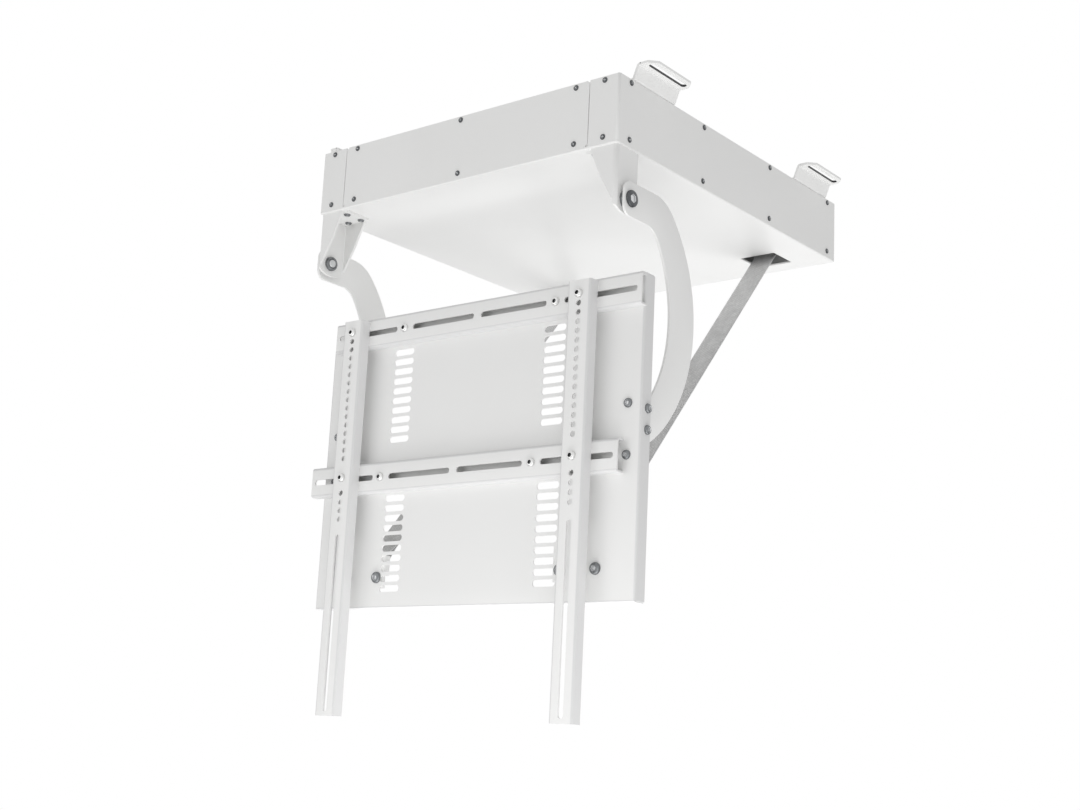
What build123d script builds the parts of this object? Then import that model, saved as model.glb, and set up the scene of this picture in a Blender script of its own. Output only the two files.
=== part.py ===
"""Motorised flip-down television mount for a ceiling.

A flat sheet-steel housing hangs from the ceiling on four slotted tabs. Pivot brackets under
its front corners carry two crescent arms, and the arms carry a folded plate with two slotted
channels across it and two upright rails for the television. Two webbing straps run from a
motor-driven tube in the housing to the back of the plate, and wind the plate up until it lies
flat under the housing.

Millimetres. +X is to the right of someone who looks at the television, -Y is towards them
and +Z is up. The origin is the middle of the ceiling plane, on top of the tab flanges.
"""

from build123d import *

import os
from math import asin, atan2, cos, hypot, sin, sqrt

os.makedirs("parts", exist_ok=True)

# Housing
housing_width = 440.0
housing_depth = 468.0
housing_height = 77.0
panel_sheet = 1.5
panel_bend = 2.5
panel_lift = 2.5
corner_return = 38.5
seam_gap = 0.8
seam_notch = 2.5
tray_sheet = 2.0
tray_bend = 3.0
tray_flange = 16.0
tray_notch = 3.0
lip_round = 1.8
opening_width = 48.0
opening_depth = 44.0
opening_rear_margin = 27.5

# Ceiling tabs
tab_rise = 19.0
tab_sheet = 3.0
tab_bend = 1.5
tab_length = 78.0
tab_inset = 25.0
tab_foot = 34.0
tab_lean = 6.0
tab_reach = 20.0
tab_corner = 9.0
tab_slot_length = 66.0
tab_slot_width = 6.5
tab_slot_reach = 10.5

# Pivot brackets
bracket_sheet = 3.0
bracket_bend = 4.5
bracket_setback = 2.0
bracket_recess = 1.5
bracket_depth = 41.0
bracket_width = 34.0
bracket_drop = 72.5
bracket_end_rise = 7.0
bracket_waist_drop = 32.0
bracket_waist_width = 20.5
bracket_tip_drop = 62.0
bracket_tip_width = 3.5
bracket_foot = 41.5
foot_screw_inset = 36.0
foot_screw_row = 21.0
foot_screw_spacing = 23.0
foot_head_radius = 4.0
foot_head_height = 2.0
foot_socket = 2.5

# Pivots
pivot_drop = 57.5
pivot_inset = 17.5
pivot_radius = 5.0
pivot_head_radius = 9.0
pivot_head_height = 3.0
pivot_socket = 8.0
pivot_nut_radius = 8.5
pivot_nut_height = 4.0
washer_radius = 10.0
washer_thickness = 4.5
running_clearance = 0.05
head_clearance = 0.2
bolt_end = 0.5

# Crescent arms
arm_thickness = 3.0
arm_end_height = 37.8
arm_end_reach = 11.2
arm_end_round = 11.0
arm_outer_start = 61.9
arm_outer_reach = 123.4
arm_outer_drop = 109.0
arm_outer_round = 46.0
arm_inner_start = 42.8
arm_inner_reach = 77.5
arm_inner_drop = 115.0
arm_inner_round = 26.0
arm_pad_gap = 1.5
arm_pad_overhang = 3.0
arm_pad_above = 15.0
arm_pad_below = 20.0
arm_pad_slope = 9.0
arm_screw_drop = 154.2
arm_screw_spacing = 22.4
arm_screw_inset = 10.5

# Television plate
plate_setback = 30.0
plate_top_drop = 70.0
plate_height = 341.0
plate_sheet = 1.5
plate_bend = 2.5
plate_flange = 16.0
plate_notch = 3.5
vent_length = 30.0
vent_height = 7.5
vent_pitch = 11.4
vent_count = 10
vent_inset = 116.8
vent_upper_drop = 45.2
vent_lower_rise = 22.1

# Cleats between the arms and the plate
cleat_sheet = 2.0
cleat_width = 24.0
cleat_height = 76.0
cleat_drop = 164.5
cleat_screw_inset = 12.5
cleat_screw_margin = 11.0

# Channels across the plate
channel_length = 444.0
channel_height = 35.0
channel_depth = 11.0
channel_sheet = 2.0
channel_bend = 3.0
channel_slot_width = 6.5
channel_inner_slot = 93.0
channel_inner_place = 51.5
channel_end_slot = 95.0
channel_end_place = 169.5
channel_screw_place = 110.5
upper_channel_drop = 19.5
lower_channel_drop = 192.5
upper_channel_shift = 7.7
lower_channel_shift = -15.3

# Upright rails
rail_length = 457.0
rail_width = 30.0
rail_depth = 13.0
rail_sheet = 2.0
rail_bend = 2.5
rail_top_drop = 4.8
rail_hole_diameter = 6.5
rail_hole_pitch = 10.0
rail_upper_holes = 15
rail_upper_drop = 25.0
rail_lower_holes = 4
rail_lower_drop = 205.4
rail_fixing_spacing = 100.0
rail_slot_length = 199.0
rail_slot_margin = 5.0
left_rail_place = -174.5
right_rail_place = 159.0

# Screws with a hexagon socket; what repeats most has flats in place of its round walls
screw_radius = 3.0
screw_head_radius = 5.0
screw_head_height = 4.0
screw_socket = 4.0
screw_clearance = 0.25
square_nut = 10.0
square_nut_height = 5.0
flat_count = 12
slot_corner_share = 0.293

# Strap anchors on the back of the plate
anchor_sheet = 2.5
anchor_width = 66.0
anchor_height = 39.0
anchor_shift = 4.0
anchor_rise = 42.5
ear_height = 23.0
ear_depth = 16.0
ear_gap = 1.0
bar_radius = 4.0
bar_setback = 9.5
bar_inset = 11.5
anchor_bolt_spacing = 46.0
anchor_bolt_inset = 12.0
anchor_head_radius = 6.5
anchor_head_height = 4.5
anchor_socket = 5.0

# Straps and the tube that winds them
strap_width = 31.0
strap_thickness = 1.6
strap_inset = 70.0
strap_gap = 0.3
drum_rear_distance = 49.0
drum_rise = 36.0
drum_side_margin = 10.0
tube_radius = 17.0
tube_wall = 1.5
motor_head_radius = 20.0
motor_head_length = 15.0
spigot_length = 12.0
tube_end_gap = 1.0
plug_length = 12.0
idler_pin_radius = 6.0
end_bracket_sheet = 2.5
end_bracket_width = 56.0
end_bracket_height = 60.0
end_bracket_foot = 28.0

# Control unit and mains inlet
control_width = 130.0
control_depth = 76.0
control_height = 34.0
control_wall = 2.0
control_rear_distance = 240.0
lid_sheet = 3.0
board_sheet = 1.6
board_gap = 0.5
board_rise = 8.0
inlet_width = 28.0
inlet_height = 20.0
inlet_depth = 18.0
inlet_flange_width = 40.0
inlet_flange_height = 27.0
inlet_flange_sheet = 2.5
inlet_place = -120.0
inlet_clearance = 0.2

# Places that follow from the sizes
sides = {"left": -1, "right": 1}
half_width = housing_width / 2
half_depth = housing_depth / 2
housing_top = -tab_rise
housing_base = housing_top - housing_height
floor_top = housing_base + tray_sheet
tray_width = housing_width - 2 * panel_sheet
tray_depth = housing_depth - 2 * panel_sheet
seam_place = half_width - corner_return
panel_width = 2 * (seam_place - seam_gap)
panel_base = housing_base + panel_lift
panel_height = housing_height - panel_lift
panel_middle = panel_base + panel_height / 2
opening_y = half_depth - opening_rear_margin - opening_depth / 2
bracket_front = -half_depth + bracket_setback
bracket_rear = bracket_front + bracket_depth
bracket_side = half_width - bracket_recess
pivot_y = bracket_front + pivot_inset
pivot_z = housing_base - pivot_drop
arm_inner_face = bracket_side + washer_thickness
arm_outer_face = arm_inner_face + arm_thickness
plate_half_width = arm_outer_face + plate_sheet
vent_place = plate_half_width - vent_inset
plate_front = pivot_y + plate_setback
plate_back = plate_front + plate_sheet
plate_rear = plate_front + plate_flange
plate_top = pivot_z - plate_top_drop
plate_base = plate_top - plate_height
channel_front = plate_front - channel_depth
rail_front = channel_front - rail_depth
rail_top = plate_top - rail_top_drop
channel_heights = {
    "upper": plate_top - upper_channel_drop,
    "lower": plate_top - lower_channel_drop,
}
channel_shifts = {"upper": upper_channel_shift, "lower": lower_channel_shift}
rail_places = {"left": left_rail_place, "right": right_rail_place}
anchor_z = plate_base + anchor_rise
bar_y = plate_back + bar_setback
bar_z = anchor_z + anchor_height / 2 - bar_inset
strap_place = half_width - strap_inset
drum_y = half_depth - drum_rear_distance
drum_z = housing_base + drum_rise
end_bracket_outer = half_width - panel_sheet - tray_sheet - drum_side_margin
end_bracket_inner = end_bracket_outer - end_bracket_sheet
tube_half_length = end_bracket_inner - motor_head_length - tube_end_gap


def finish(piece, name):
    """Name a finished piece and write it."""
    piece.part.label = name
    export_step(piece.part, f"parts/{name}.step")


def front_plane(y):
    """Upright plane that faces the viewer: x runs right and y runs up."""
    return Plane(origin=(0, y, 0), x_dir=(1, 0, 0), z_dir=(0, -1, 0))


def cross_plane(y, side):
    """Upright plane that faces front or rear: x runs outwards on one side and y runs up."""
    return Plane(origin=(0, y, 0), x_dir=(side, 0, 0), z_dir=(0, -side, 0))


def plan_plane(z, side):
    """Level plane: x runs outwards on one side and y runs to the rear."""
    return Plane(origin=(0, 0, z), x_dir=(side, 0, 0), z_dir=(0, 0, side))


def folded(points, sheet, radii):
    """Section of a folded sheet whose outer face follows the points, with the metal on the left."""
    with BuildLine() as outline:
        FilletPolyline(*points, radius=radii)
        offset(amount=sheet, side=Side.LEFT)
    make_face(outline.edges())


def light_slot(length, width):
    """Slot whose round ends are drawn with three flats each."""
    with BuildSketch() as slot:
        Rectangle(length, width)
        chamfer(slot.vertices(), slot_corner_share * width)
    return slot.sketch


def socket_head(radius, height, socket):
    """Head of a hexagon socket screw, drawn with flats, standing on its seat."""
    with BuildPart() as head:
        with BuildSketch():
            RegularPolygon(radius, flat_count)
        extrude(amount=height)
        with BuildSketch(Plane.XY.offset(height)):
            RegularPolygon(socket / 2, 6, major_radius=False)
        extrude(amount=-height / 2, mode=Mode.SUBTRACT)
    return head.part


def group(name, fastener, seats):
    """Like fasteners in one node, one on each seat."""
    with BuildPart() as fasteners:
        with Locations(*seats):
            add(fastener)
    finish(fasteners, name)


def facing(x, y, z, direction):
    """Seat at a point, with the fastener's head looking along a direction."""
    return Plane(origin=(x, y, z), x_dir=(0, 0, 1), z_dir=direction)


# Bottom plate: a tray folded up inside the panels, with a lip below them and two strap openings
tray_corners = [(x * tray_width / 2, y * tray_depth / 2) for x in (-1, 1) for y in (-1, 1)]
lip_inner_width = tray_width - 2 * (tray_bend + tray_sheet)
lip_inner_depth = tray_depth - 2 * (tray_bend + tray_sheet)
with BuildPart() as bottom_plate:
    with BuildSketch(Plane.XY.offset(housing_base)):
        Rectangle(tray_width, tray_depth)
    extrude(amount=tray_flange)
    fillet(bottom_plate.faces().sort_by(Axis.Z)[0].edges(), tray_bend)
    offset(amount=-tray_sheet, openings=bottom_plate.faces().sort_by(Axis.Z)[-1])
    with BuildSketch(Plane.XY.offset(housing_base)):
        with Locations(*tray_corners):
            Rectangle(2 * tray_notch, 2 * tray_notch)
    extrude(amount=tray_flange, mode=Mode.SUBTRACT)
    with BuildSketch(Plane.XY.offset(housing_base)):
        RectangleRounded(housing_width, housing_depth, panel_bend)
        Rectangle(lip_inner_width, lip_inner_depth, mode=Mode.SUBTRACT)
    extrude(amount=panel_lift)
    fillet(bottom_plate.faces().sort_by(Axis.Z)[0].edges(), lip_round)
    with BuildSketch(Plane.XY.offset(housing_base)):
        with Locations((-strap_place, opening_y), (strap_place, opening_y)):
            Rectangle(opening_width, opening_depth)
    extrude(amount=tray_sheet, mode=Mode.SUBTRACT)
finish(bottom_plate, "bottom_plate")

# Top plate: the same tray folded down, level with the upper edge of the panels
with BuildPart() as top_plate:
    with BuildSketch(Plane.XY.offset(housing_top)):
        Rectangle(tray_width, tray_depth)
    extrude(amount=-tray_flange)
    fillet(top_plate.faces().sort_by(Axis.Z)[-1].edges(), tray_bend)
    offset(amount=-tray_sheet, openings=top_plate.faces().sort_by(Axis.Z)[0])
    with BuildSketch(Plane.XY.offset(housing_top)):
        with Locations(*tray_corners):
            Rectangle(2 * tray_notch, 2 * tray_notch)
    extrude(amount=-tray_flange, mode=Mode.SUBTRACT)
finish(top_plate, "top_plate")

# Side panels, wrapped round the front and rear corners
for word, side in sides.items():
    with BuildPart() as side_panel:
        with BuildSketch(plan_plane(panel_base, side)):
            folded(
                (
                    (seam_place, -half_depth),
                    (half_width, -half_depth),
                    (half_width, half_depth),
                    (seam_place, half_depth),
                ),
                panel_sheet,
                panel_bend,
            )
        extrude(amount=side * panel_height)
    finish(side_panel, f"{word}_side_panel")

# Front panel between the corner returns, with its corners notched at the seams
panel_corners = [
    (x * panel_width / 2, panel_middle + y * panel_height / 2) for x in (-1, 1) for y in (-1, 1)
]
with BuildPart() as front_panel:
    with BuildSketch(front_plane(-half_depth)):
        with Locations((0, panel_middle)):
            Rectangle(panel_width, panel_height)
        with Locations(*panel_corners):
            Rectangle(2 * seam_notch, 2 * seam_notch, mode=Mode.SUBTRACT)
    extrude(amount=-panel_sheet)
finish(front_panel, "front_panel")

# Rear panel: the same sheet with the cut-out for the mains inlet
inlet_cut_width = inlet_width + 2 * inlet_clearance
inlet_cut_height = inlet_height + 2 * inlet_clearance
with BuildPart() as rear_panel:
    with BuildSketch(front_plane(half_depth)):
        with Locations((0, panel_middle)):
            Rectangle(panel_width, panel_height)
        with Locations(*panel_corners):
            Rectangle(2 * seam_notch, 2 * seam_notch, mode=Mode.SUBTRACT)
        with Locations((inlet_place, panel_middle)):
            Rectangle(inlet_cut_width, inlet_cut_height, mode=Mode.SUBTRACT)
    extrude(amount=panel_sheet)
finish(rear_panel, "rear_panel")

# Ceiling tabs: a foot on the top plate, a web that leans outwards and a slotted flange
tab_place = half_depth - tab_inset - tab_length / 2
tab_edge = half_width + tab_lean
for end, along in (("front", -1), ("rear", 1)):
    for word, side in sides.items():
        with BuildPart() as tab:
            with BuildSketch(cross_plane(along * tab_place, side)):
                folded(
                    (
                        (half_width - tab_foot, housing_top),
                        (half_width, housing_top),
                        (tab_edge, -tab_sheet),
                        (tab_edge + tab_reach, -tab_sheet),
                    ),
                    tab_sheet,
                    (tab_sheet + tab_bend, tab_bend),
                )
            extrude(amount=tab_length / 2, both=True)
            outer_edge = tab.faces().sort_by(Axis.X)[-1 if side > 0 else 0]
            chamfer(outer_edge.edges().filter_by(Axis.Z), tab_corner)
            with BuildSketch(Plane.XY):
                with Locations((side * (tab_edge + tab_slot_reach), along * tab_place)):
                    SlotOverall(tab_slot_length, tab_slot_width, rotation=90)
            extrude(amount=-tab_sheet, mode=Mode.SUBTRACT)
        finish(tab, f"{end}_{word}_tab")

# Pivot brackets: a side wall with a curved end between tapered walls, and a foot turned inwards
bracket_middle = (bracket_front + bracket_rear) / 2
bracket_reach = bracket_side - bracket_width
bracket_inner = bracket_side - bracket_sheet
bracket_base = housing_base - bracket_drop
bracket_end = bracket_base + bracket_end_rise
for word, side in sides.items():
    with BuildPart() as bracket:
        with BuildSketch(plan_plane(housing_base, side)):
            folded(
                (
                    (bracket_reach, bracket_front),
                    (bracket_side, bracket_front),
                    (bracket_side, bracket_rear),
                    (bracket_reach, bracket_rear),
                ),
                bracket_sheet,
                bracket_bend,
            )
        extrude(amount=-side * bracket_drop)
        with BuildSketch(cross_plane(bracket_middle, side)):
            with BuildLine():
                Polyline(
                    (bracket_reach, housing_base - bracket_sheet),
                    (bracket_side - bracket_waist_width, housing_base - bracket_waist_drop),
                    (bracket_side - bracket_tip_width, housing_base - bracket_tip_drop),
                    (bracket_inner, bracket_base),
                    (bracket_reach, bracket_base),
                    close=True,
                )
            make_face()
        extrude(amount=bracket_depth, both=True, mode=Mode.SUBTRACT)
        with BuildSketch(Plane.YZ.offset(side * bracket_side)):
            with BuildLine():
                ThreePointArc(
                    (bracket_front, bracket_end),
                    (bracket_middle, bracket_base),
                    (bracket_rear, bracket_end),
                )
                Polyline(
                    (bracket_rear, bracket_end),
                    (bracket_rear, bracket_base - bracket_sheet),
                    (bracket_front, bracket_base - bracket_sheet),
                    (bracket_front, bracket_end),
                )
            make_face()
        extrude(amount=-side * bracket_width, mode=Mode.SUBTRACT)
        with BuildSketch(plan_plane(housing_base, side)):
            with Locations((bracket_inner, bracket_middle)):
                Rectangle(
                    bracket_foot - bracket_sheet,
                    bracket_depth - 2 * bracket_sheet,
                    align=(Align.MAX, Align.CENTER),
                )
        extrude(amount=-side * bracket_sheet)
        with BuildSketch(Plane.YZ.offset(side * bracket_side)):
            with Locations((pivot_y, pivot_z)):
                Circle(pivot_radius + running_clearance)
        extrude(amount=-side * bracket_sheet, mode=Mode.SUBTRACT)
    finish(bracket, f"{word}_pivot_bracket")

foot_screw_seats = [
    Plane(
        origin=(side * (half_width - inset), bracket_middle + along, housing_base - bracket_sheet),
        x_dir=(1, 0, 0),
        z_dir=(0, 0, -1),
    )
    for side in sides.values()
    for inset in (foot_screw_inset - foot_screw_row, foot_screw_inset)
    for along in (-foot_screw_spacing / 2, foot_screw_spacing / 2)
]
foot_head = socket_head(foot_head_radius, foot_head_height, foot_socket)
group("foot_screws", foot_head, foot_screw_seats)

# Pivot bolts from outside, with a washer under the arm and a low round nut inside the bracket
pivot_grip = head_clearance + arm_thickness + washer_thickness + bracket_sheet
with BuildPart() as pivot_bolt:
    with BuildSketch():
        RegularPolygon(pivot_radius, flat_count)
    extrude(amount=-(pivot_grip + pivot_nut_height + bolt_end))
    add(socket_head(pivot_head_radius, pivot_head_height, pivot_socket))
with BuildPart() as washer:
    with BuildSketch():
        RegularPolygon(washer_radius, flat_count)
        RegularPolygon(
            pivot_radius + running_clearance, flat_count, major_radius=False, mode=Mode.SUBTRACT
        )
    extrude(amount=washer_thickness)
with BuildPart() as nut:
    with BuildSketch():
        RegularPolygon(pivot_nut_radius, flat_count)
        RegularPolygon(
            pivot_radius + running_clearance, flat_count, major_radius=False, mode=Mode.SUBTRACT
        )
    extrude(amount=-pivot_nut_height)


def pivot_seats(distance):
    """Places on both pivot lines at one distance from the middle, looking outwards."""
    return [facing(side * distance, pivot_y, pivot_z, (side, 0, 0)) for side in sides.values()]


group("pivot_bolts", pivot_bolt.part, pivot_seats(arm_outer_face + head_clearance))
group("pivot_washers", washer.part, pivot_seats(bracket_side))
group("pivot_nuts", nut.part, pivot_seats(bracket_inner))

# Television plate: a sheet with its four edges folded back, and four stacks of vents
vent_rows = [plate_top - vent_upper_drop - row * vent_pitch for row in range(vent_count)]
vent_rows += [plate_base + vent_lower_rise + row * vent_pitch for row in range(vent_count)]
plate_corners = [(x * plate_half_width, z) for x in (-1, 1) for z in (plate_top, plate_base)]
with BuildPart() as tv_plate:
    with BuildSketch(front_plane(plate_front)):
        with Locations((0, plate_top - plate_height / 2)):
            Rectangle(2 * plate_half_width, plate_height)
    extrude(amount=-plate_flange)
    fillet(tv_plate.faces().sort_by(Axis.Y)[0].edges(), plate_bend)
    offset(amount=-plate_sheet, openings=tv_plate.faces().sort_by(Axis.Y)[-1])
    with BuildSketch(front_plane(plate_front + plate_bend)):
        with Locations(*plate_corners):
            Rectangle(2 * plate_notch, 2 * plate_notch)
    extrude(amount=-plate_flange, mode=Mode.SUBTRACT)
    with BuildSketch(front_plane(plate_front)):
        with Locations(*[(x * vent_place, z) for x in (-1, 1) for z in vent_rows]):
            add(light_slot(vent_length, vent_height))
    extrude(amount=-plate_sheet, mode=Mode.SUBTRACT)
finish(tv_plate, "tv_plate")

# Crescent arms: a blunt pivot end, a curved sweep and a pad inside the plate's side flange
arm_screw_z = plate_top - arm_screw_drop
pad_front = plate_back + arm_pad_gap
pad_rear = plate_rear + arm_pad_overhang
pad_top = arm_screw_z + arm_screw_spacing / 2 + arm_pad_above
pad_base = arm_screw_z - arm_screw_spacing / 2 - arm_pad_below
arm_top = pivot_z + arm_end_height / 2
arm_neck = pivot_z - arm_end_height / 2
arm_end = pivot_y - arm_end_reach
outer_corner = (pivot_y + arm_outer_start, arm_top)
inner_corner = (pivot_y + arm_inner_start, arm_neck)
for word, side in sides.items():
    with BuildPart() as arm:
        with BuildSketch(Plane.YZ.offset(side * arm_inner_face)) as outline:
            with BuildLine():
                Line((arm_end, arm_top), outer_corner)
                ThreePointArc(
                    outer_corner,
                    (pivot_y + arm_outer_reach, pivot_z - arm_outer_drop),
                    (pad_rear, pad_base + arm_pad_slope),
                )
                Polyline(
                    (pad_rear, pad_base + arm_pad_slope),
                    (pad_front, pad_base),
                    (pad_front, pad_top),
                    (pad_rear, pad_top),
                )
                ThreePointArc(
                    (pad_rear, pad_top),
                    (pivot_y + arm_inner_reach, pivot_z - arm_inner_drop),
                    inner_corner,
                )
                Polyline(inner_corner, (arm_end, arm_neck), (arm_end, arm_top))
            make_face()
            fillet(outline.vertices().sort_by_distance(outer_corner)[0], arm_outer_round)
            fillet(outline.vertices().sort_by_distance(inner_corner)[0], arm_inner_round)
            fillet(outline.vertices().group_by(Axis.X)[0], arm_end_round)
            with Locations((pivot_y, pivot_z)):
                Circle(pivot_radius + running_clearance, mode=Mode.SUBTRACT)
        extrude(amount=side * arm_thickness)
    finish(arm, f"{word}_arm")

# Cleats: angles that clamp the arm pads against the plate's side flanges
cleat_z = plate_top - cleat_drop
for word, side in sides.items():
    with BuildPart() as cleat:
        with BuildSketch(plan_plane(cleat_z, side)):
            with BuildLine():
                Polyline(
                    (arm_inner_face, plate_back),
                    (arm_inner_face, plate_rear),
                    (arm_inner_face - cleat_sheet, plate_rear),
                    (arm_inner_face - cleat_sheet, plate_back + cleat_sheet),
                    (arm_inner_face - cleat_width, plate_back + cleat_sheet),
                    (arm_inner_face - cleat_width, plate_back),
                    close=True,
                )
            make_face()
        extrude(amount=cleat_height / 2, both=True)
    finish(cleat, f"{word}_cleat")

screw_head = socket_head(screw_head_radius, screw_head_height, screw_socket)
arm_screw_seats = [
    facing(side * plate_half_width, plate_front + arm_screw_inset, arm_screw_z + rise, (side, 0, 0))
    for side in sides.values()
    for rise in (-arm_screw_spacing / 2, arm_screw_spacing / 2)
]
group("arm_screws", screw_head, arm_screw_seats)
cleat_screw_x = arm_inner_face - cleat_screw_inset
cleat_screw_rise = cleat_height / 2 - cleat_screw_margin
cleat_screw_seats = [
    facing(side * cleat_screw_x, plate_front, cleat_z + rise, (0, -1, 0))
    for side in sides.values()
    for rise in (-cleat_screw_rise, cleat_screw_rise)
]
group("cleat_screws", screw_head, cleat_screw_seats)

# Channels: C sections open to the plate, with two long slots on each half
channel_slots = [
    (sign * place, length)
    for sign in (-1, 1)
    for place, length in (
        (channel_inner_place, channel_inner_slot),
        (channel_end_place, channel_end_slot),
    )
]
for level, channel_z in channel_heights.items():
    channel_middle = channel_shifts[level]
    with BuildPart() as channel:
        with BuildSketch(Plane.YZ.offset(channel_middle)):
            folded(
                (
                    (plate_front, channel_z + channel_height / 2),
                    (channel_front, channel_z + channel_height / 2),
                    (channel_front, channel_z - channel_height / 2),
                    (plate_front, channel_z - channel_height / 2),
                ),
                channel_sheet,
                channel_bend,
            )
        extrude(amount=channel_length / 2, both=True)
        with BuildSketch(front_plane(channel_front)):
            for place, length in channel_slots:
                with Locations((channel_middle + place, channel_z)):
                    add(light_slot(length, channel_slot_width))
        extrude(amount=-channel_sheet, mode=Mode.SUBTRACT)
    finish(channel, f"{level}_channel")

channel_screw_seats = [
    facing(channel_shifts[level] + sign * channel_screw_place, channel_front, channel_z, (0, -1, 0))
    for level, channel_z in channel_heights.items()
    for sign in (-1, 1)
]
group("channel_screws", screw_head, channel_screw_seats)

# Rails: U sections with their flanges on the channels, a row of holes and one long slot
with BuildPart() as rail_screw:
    add(screw_head)
    with BuildSketch():
        RegularPolygon(screw_radius, flat_count)
    extrude(amount=-(rail_depth + channel_sheet))
with BuildPart() as rail_nut:
    with BuildSketch():
        Rectangle(square_nut, square_nut)
    extrude(amount=-square_nut_height)
rail_hole_rows = [
    rail_top - drop - row * rail_hole_pitch
    for drop, count in ((rail_upper_drop, rail_upper_holes), (rail_lower_drop, rail_lower_holes))
    for row in range(count)
]
fixing_rows = [rail_top - rail_upper_drop - drop for drop in (0, rail_fixing_spacing)]
spare_rows = [
    z for z in rail_hole_rows if min(abs(z - row) for row in fixing_rows) > rail_hole_pitch / 2
]
rail_slot_z = rail_top - rail_length + rail_slot_margin + rail_slot_length / 2
for word, place in rail_places.items():
    with BuildPart() as rail:
        with BuildSketch(Plane.XY.offset(rail_top)):
            folded(
                (
                    (place - rail_width / 2, channel_front),
                    (place - rail_width / 2, rail_front),
                    (place + rail_width / 2, rail_front),
                    (place + rail_width / 2, channel_front),
                ),
                rail_sheet,
                rail_bend,
            )
        extrude(amount=-rail_length)
        with BuildSketch(front_plane(rail_front)):
            with Locations(*[(place, z) for z in fixing_rows]):
                Circle(rail_hole_diameter / 2)
            with Locations(*[(place, z) for z in spare_rows]):
                RegularPolygon(rail_hole_diameter / 2, flat_count, major_radius=False)
            with Locations(*[(place, z) for z in channel_heights.values()]):
                RegularPolygon(screw_radius + screw_clearance, flat_count, major_radius=False)
            with Locations(Location((place, rail_slot_z), 90)):
                add(light_slot(rail_slot_length, rail_hole_diameter))
        extrude(amount=-rail_sheet, mode=Mode.SUBTRACT)
    finish(rail, f"{word}_rail")
    screw_seats = [facing(place, rail_front, z, (0, -1, 0)) for z in channel_heights.values()]
    group(f"{word}_rail_screws", rail_screw.part, screw_seats)
    nut_seats = [
        facing(place, channel_front + channel_sheet, z, (0, -1, 0)) for z in channel_heights.values()
    ]
    group(f"{word}_rail_nuts", rail_nut.part, nut_seats)

# Strap anchors: a plate with two ears that hold a bar
ear_inner = strap_width / 2 + ear_gap
ear_outer = ear_inner + anchor_sheet
ear_z = anchor_z + (anchor_height - ear_height) / 2
for word, side in sides.items():
    with BuildPart() as anchor:
        with BuildSketch(front_plane(plate_back)):
            with Locations((side * (strap_place + anchor_shift), anchor_z)):
                Rectangle(anchor_width, anchor_height)
        extrude(amount=-anchor_sheet)
        with BuildSketch(front_plane(plate_back + anchor_sheet)):
            with Locations(
                (side * strap_place - (ear_inner + ear_outer) / 2, ear_z),
                (side * strap_place + (ear_inner + ear_outer) / 2, ear_z),
            ):
                Rectangle(anchor_sheet, ear_height)
        extrude(amount=-ear_depth)
        with BuildSketch(Plane.YZ.offset(side * strap_place)):
            with Locations((bar_y, bar_z)):
                RegularPolygon(bar_radius, flat_count)
        extrude(amount=ear_outer, both=True)
    finish(anchor, f"{word}_strap_anchor")

anchor_head = socket_head(anchor_head_radius, anchor_head_height, anchor_socket)
anchor_bolt_z = anchor_z - anchor_height / 2 + anchor_bolt_inset
anchor_seats = [
    facing(side * (strap_place + anchor_shift) + along, plate_front, anchor_bolt_z, (0, -1, 0))
    for side in sides.values()
    for along in (-anchor_bolt_spacing / 2, anchor_bolt_spacing / 2)
]
group("anchor_bolts", anchor_head, anchor_seats)

# Straps: the taut runs from the anchor bars to where they meet the rear of the winding tube
wrap_radius = tube_radius + strap_gap + strap_thickness / 2
drum_distance = hypot(drum_y - bar_y, drum_z - bar_z)
run_angle = atan2(drum_z - bar_z, drum_y - bar_y) - asin(wrap_radius / drum_distance)
run_length = sqrt(drum_distance**2 - wrap_radius**2)
run_start = bar_radius + strap_gap
run_plane = Plane(
    origin=(0, bar_y, bar_z), x_dir=(1, 0, 0), z_dir=(0, -sin(run_angle), cos(run_angle))
)
for word, side in sides.items():
    with BuildPart() as strap:
        with BuildSketch(run_plane):
            with Locations((side * strap_place, run_start)):
                Rectangle(strap_width, run_length - run_start, align=(Align.CENTER, Align.MIN))
        extrude(amount=strap_thickness / 2, both=True)
    finish(strap, f"{word}_strap")

# Winding tube: the turning shell of a tubular motor
with BuildPart() as winding_tube:
    with BuildSketch(Plane.YZ):
        with Locations((drum_y, drum_z)):
            Circle(tube_radius)
            Circle(tube_radius - tube_wall, mode=Mode.SUBTRACT)
    extrude(amount=tube_half_length, both=True)
finish(winding_tube, "winding_tube")

# Motor head: the fixed end of the motor, with the spigot on which the tube turns
spigot_radius = tube_radius - tube_wall - running_clearance
with BuildPart() as motor_head:
    with BuildSketch(Plane.YZ.offset(-end_bracket_inner)):
        with Locations((drum_y, drum_z)):
            RegularPolygon(motor_head_radius, flat_count)
    extrude(amount=motor_head_length)
    with BuildSketch(Plane.YZ.offset(-end_bracket_inner + motor_head_length)):
        with Locations((drum_y, drum_z)):
            RegularPolygon(spigot_radius, flat_count)
    extrude(amount=tube_end_gap + spigot_length)
finish(motor_head, "motor_head")

# Idler plug: closes the other end of the tube and turns on a pin
with BuildPart() as idler_plug:
    with BuildSketch(Plane.YZ.offset(tube_half_length - plug_length)):
        with Locations((drum_y, drum_z)):
            RegularPolygon(spigot_radius, flat_count)
    extrude(amount=plug_length)
    with BuildSketch(Plane.YZ.offset(tube_half_length)):
        with Locations((drum_y, drum_z)):
            RegularPolygon(idler_pin_radius, flat_count)
    extrude(amount=end_bracket_outer + bolt_end - tube_half_length)
finish(idler_plug, "idler_plug")

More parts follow.
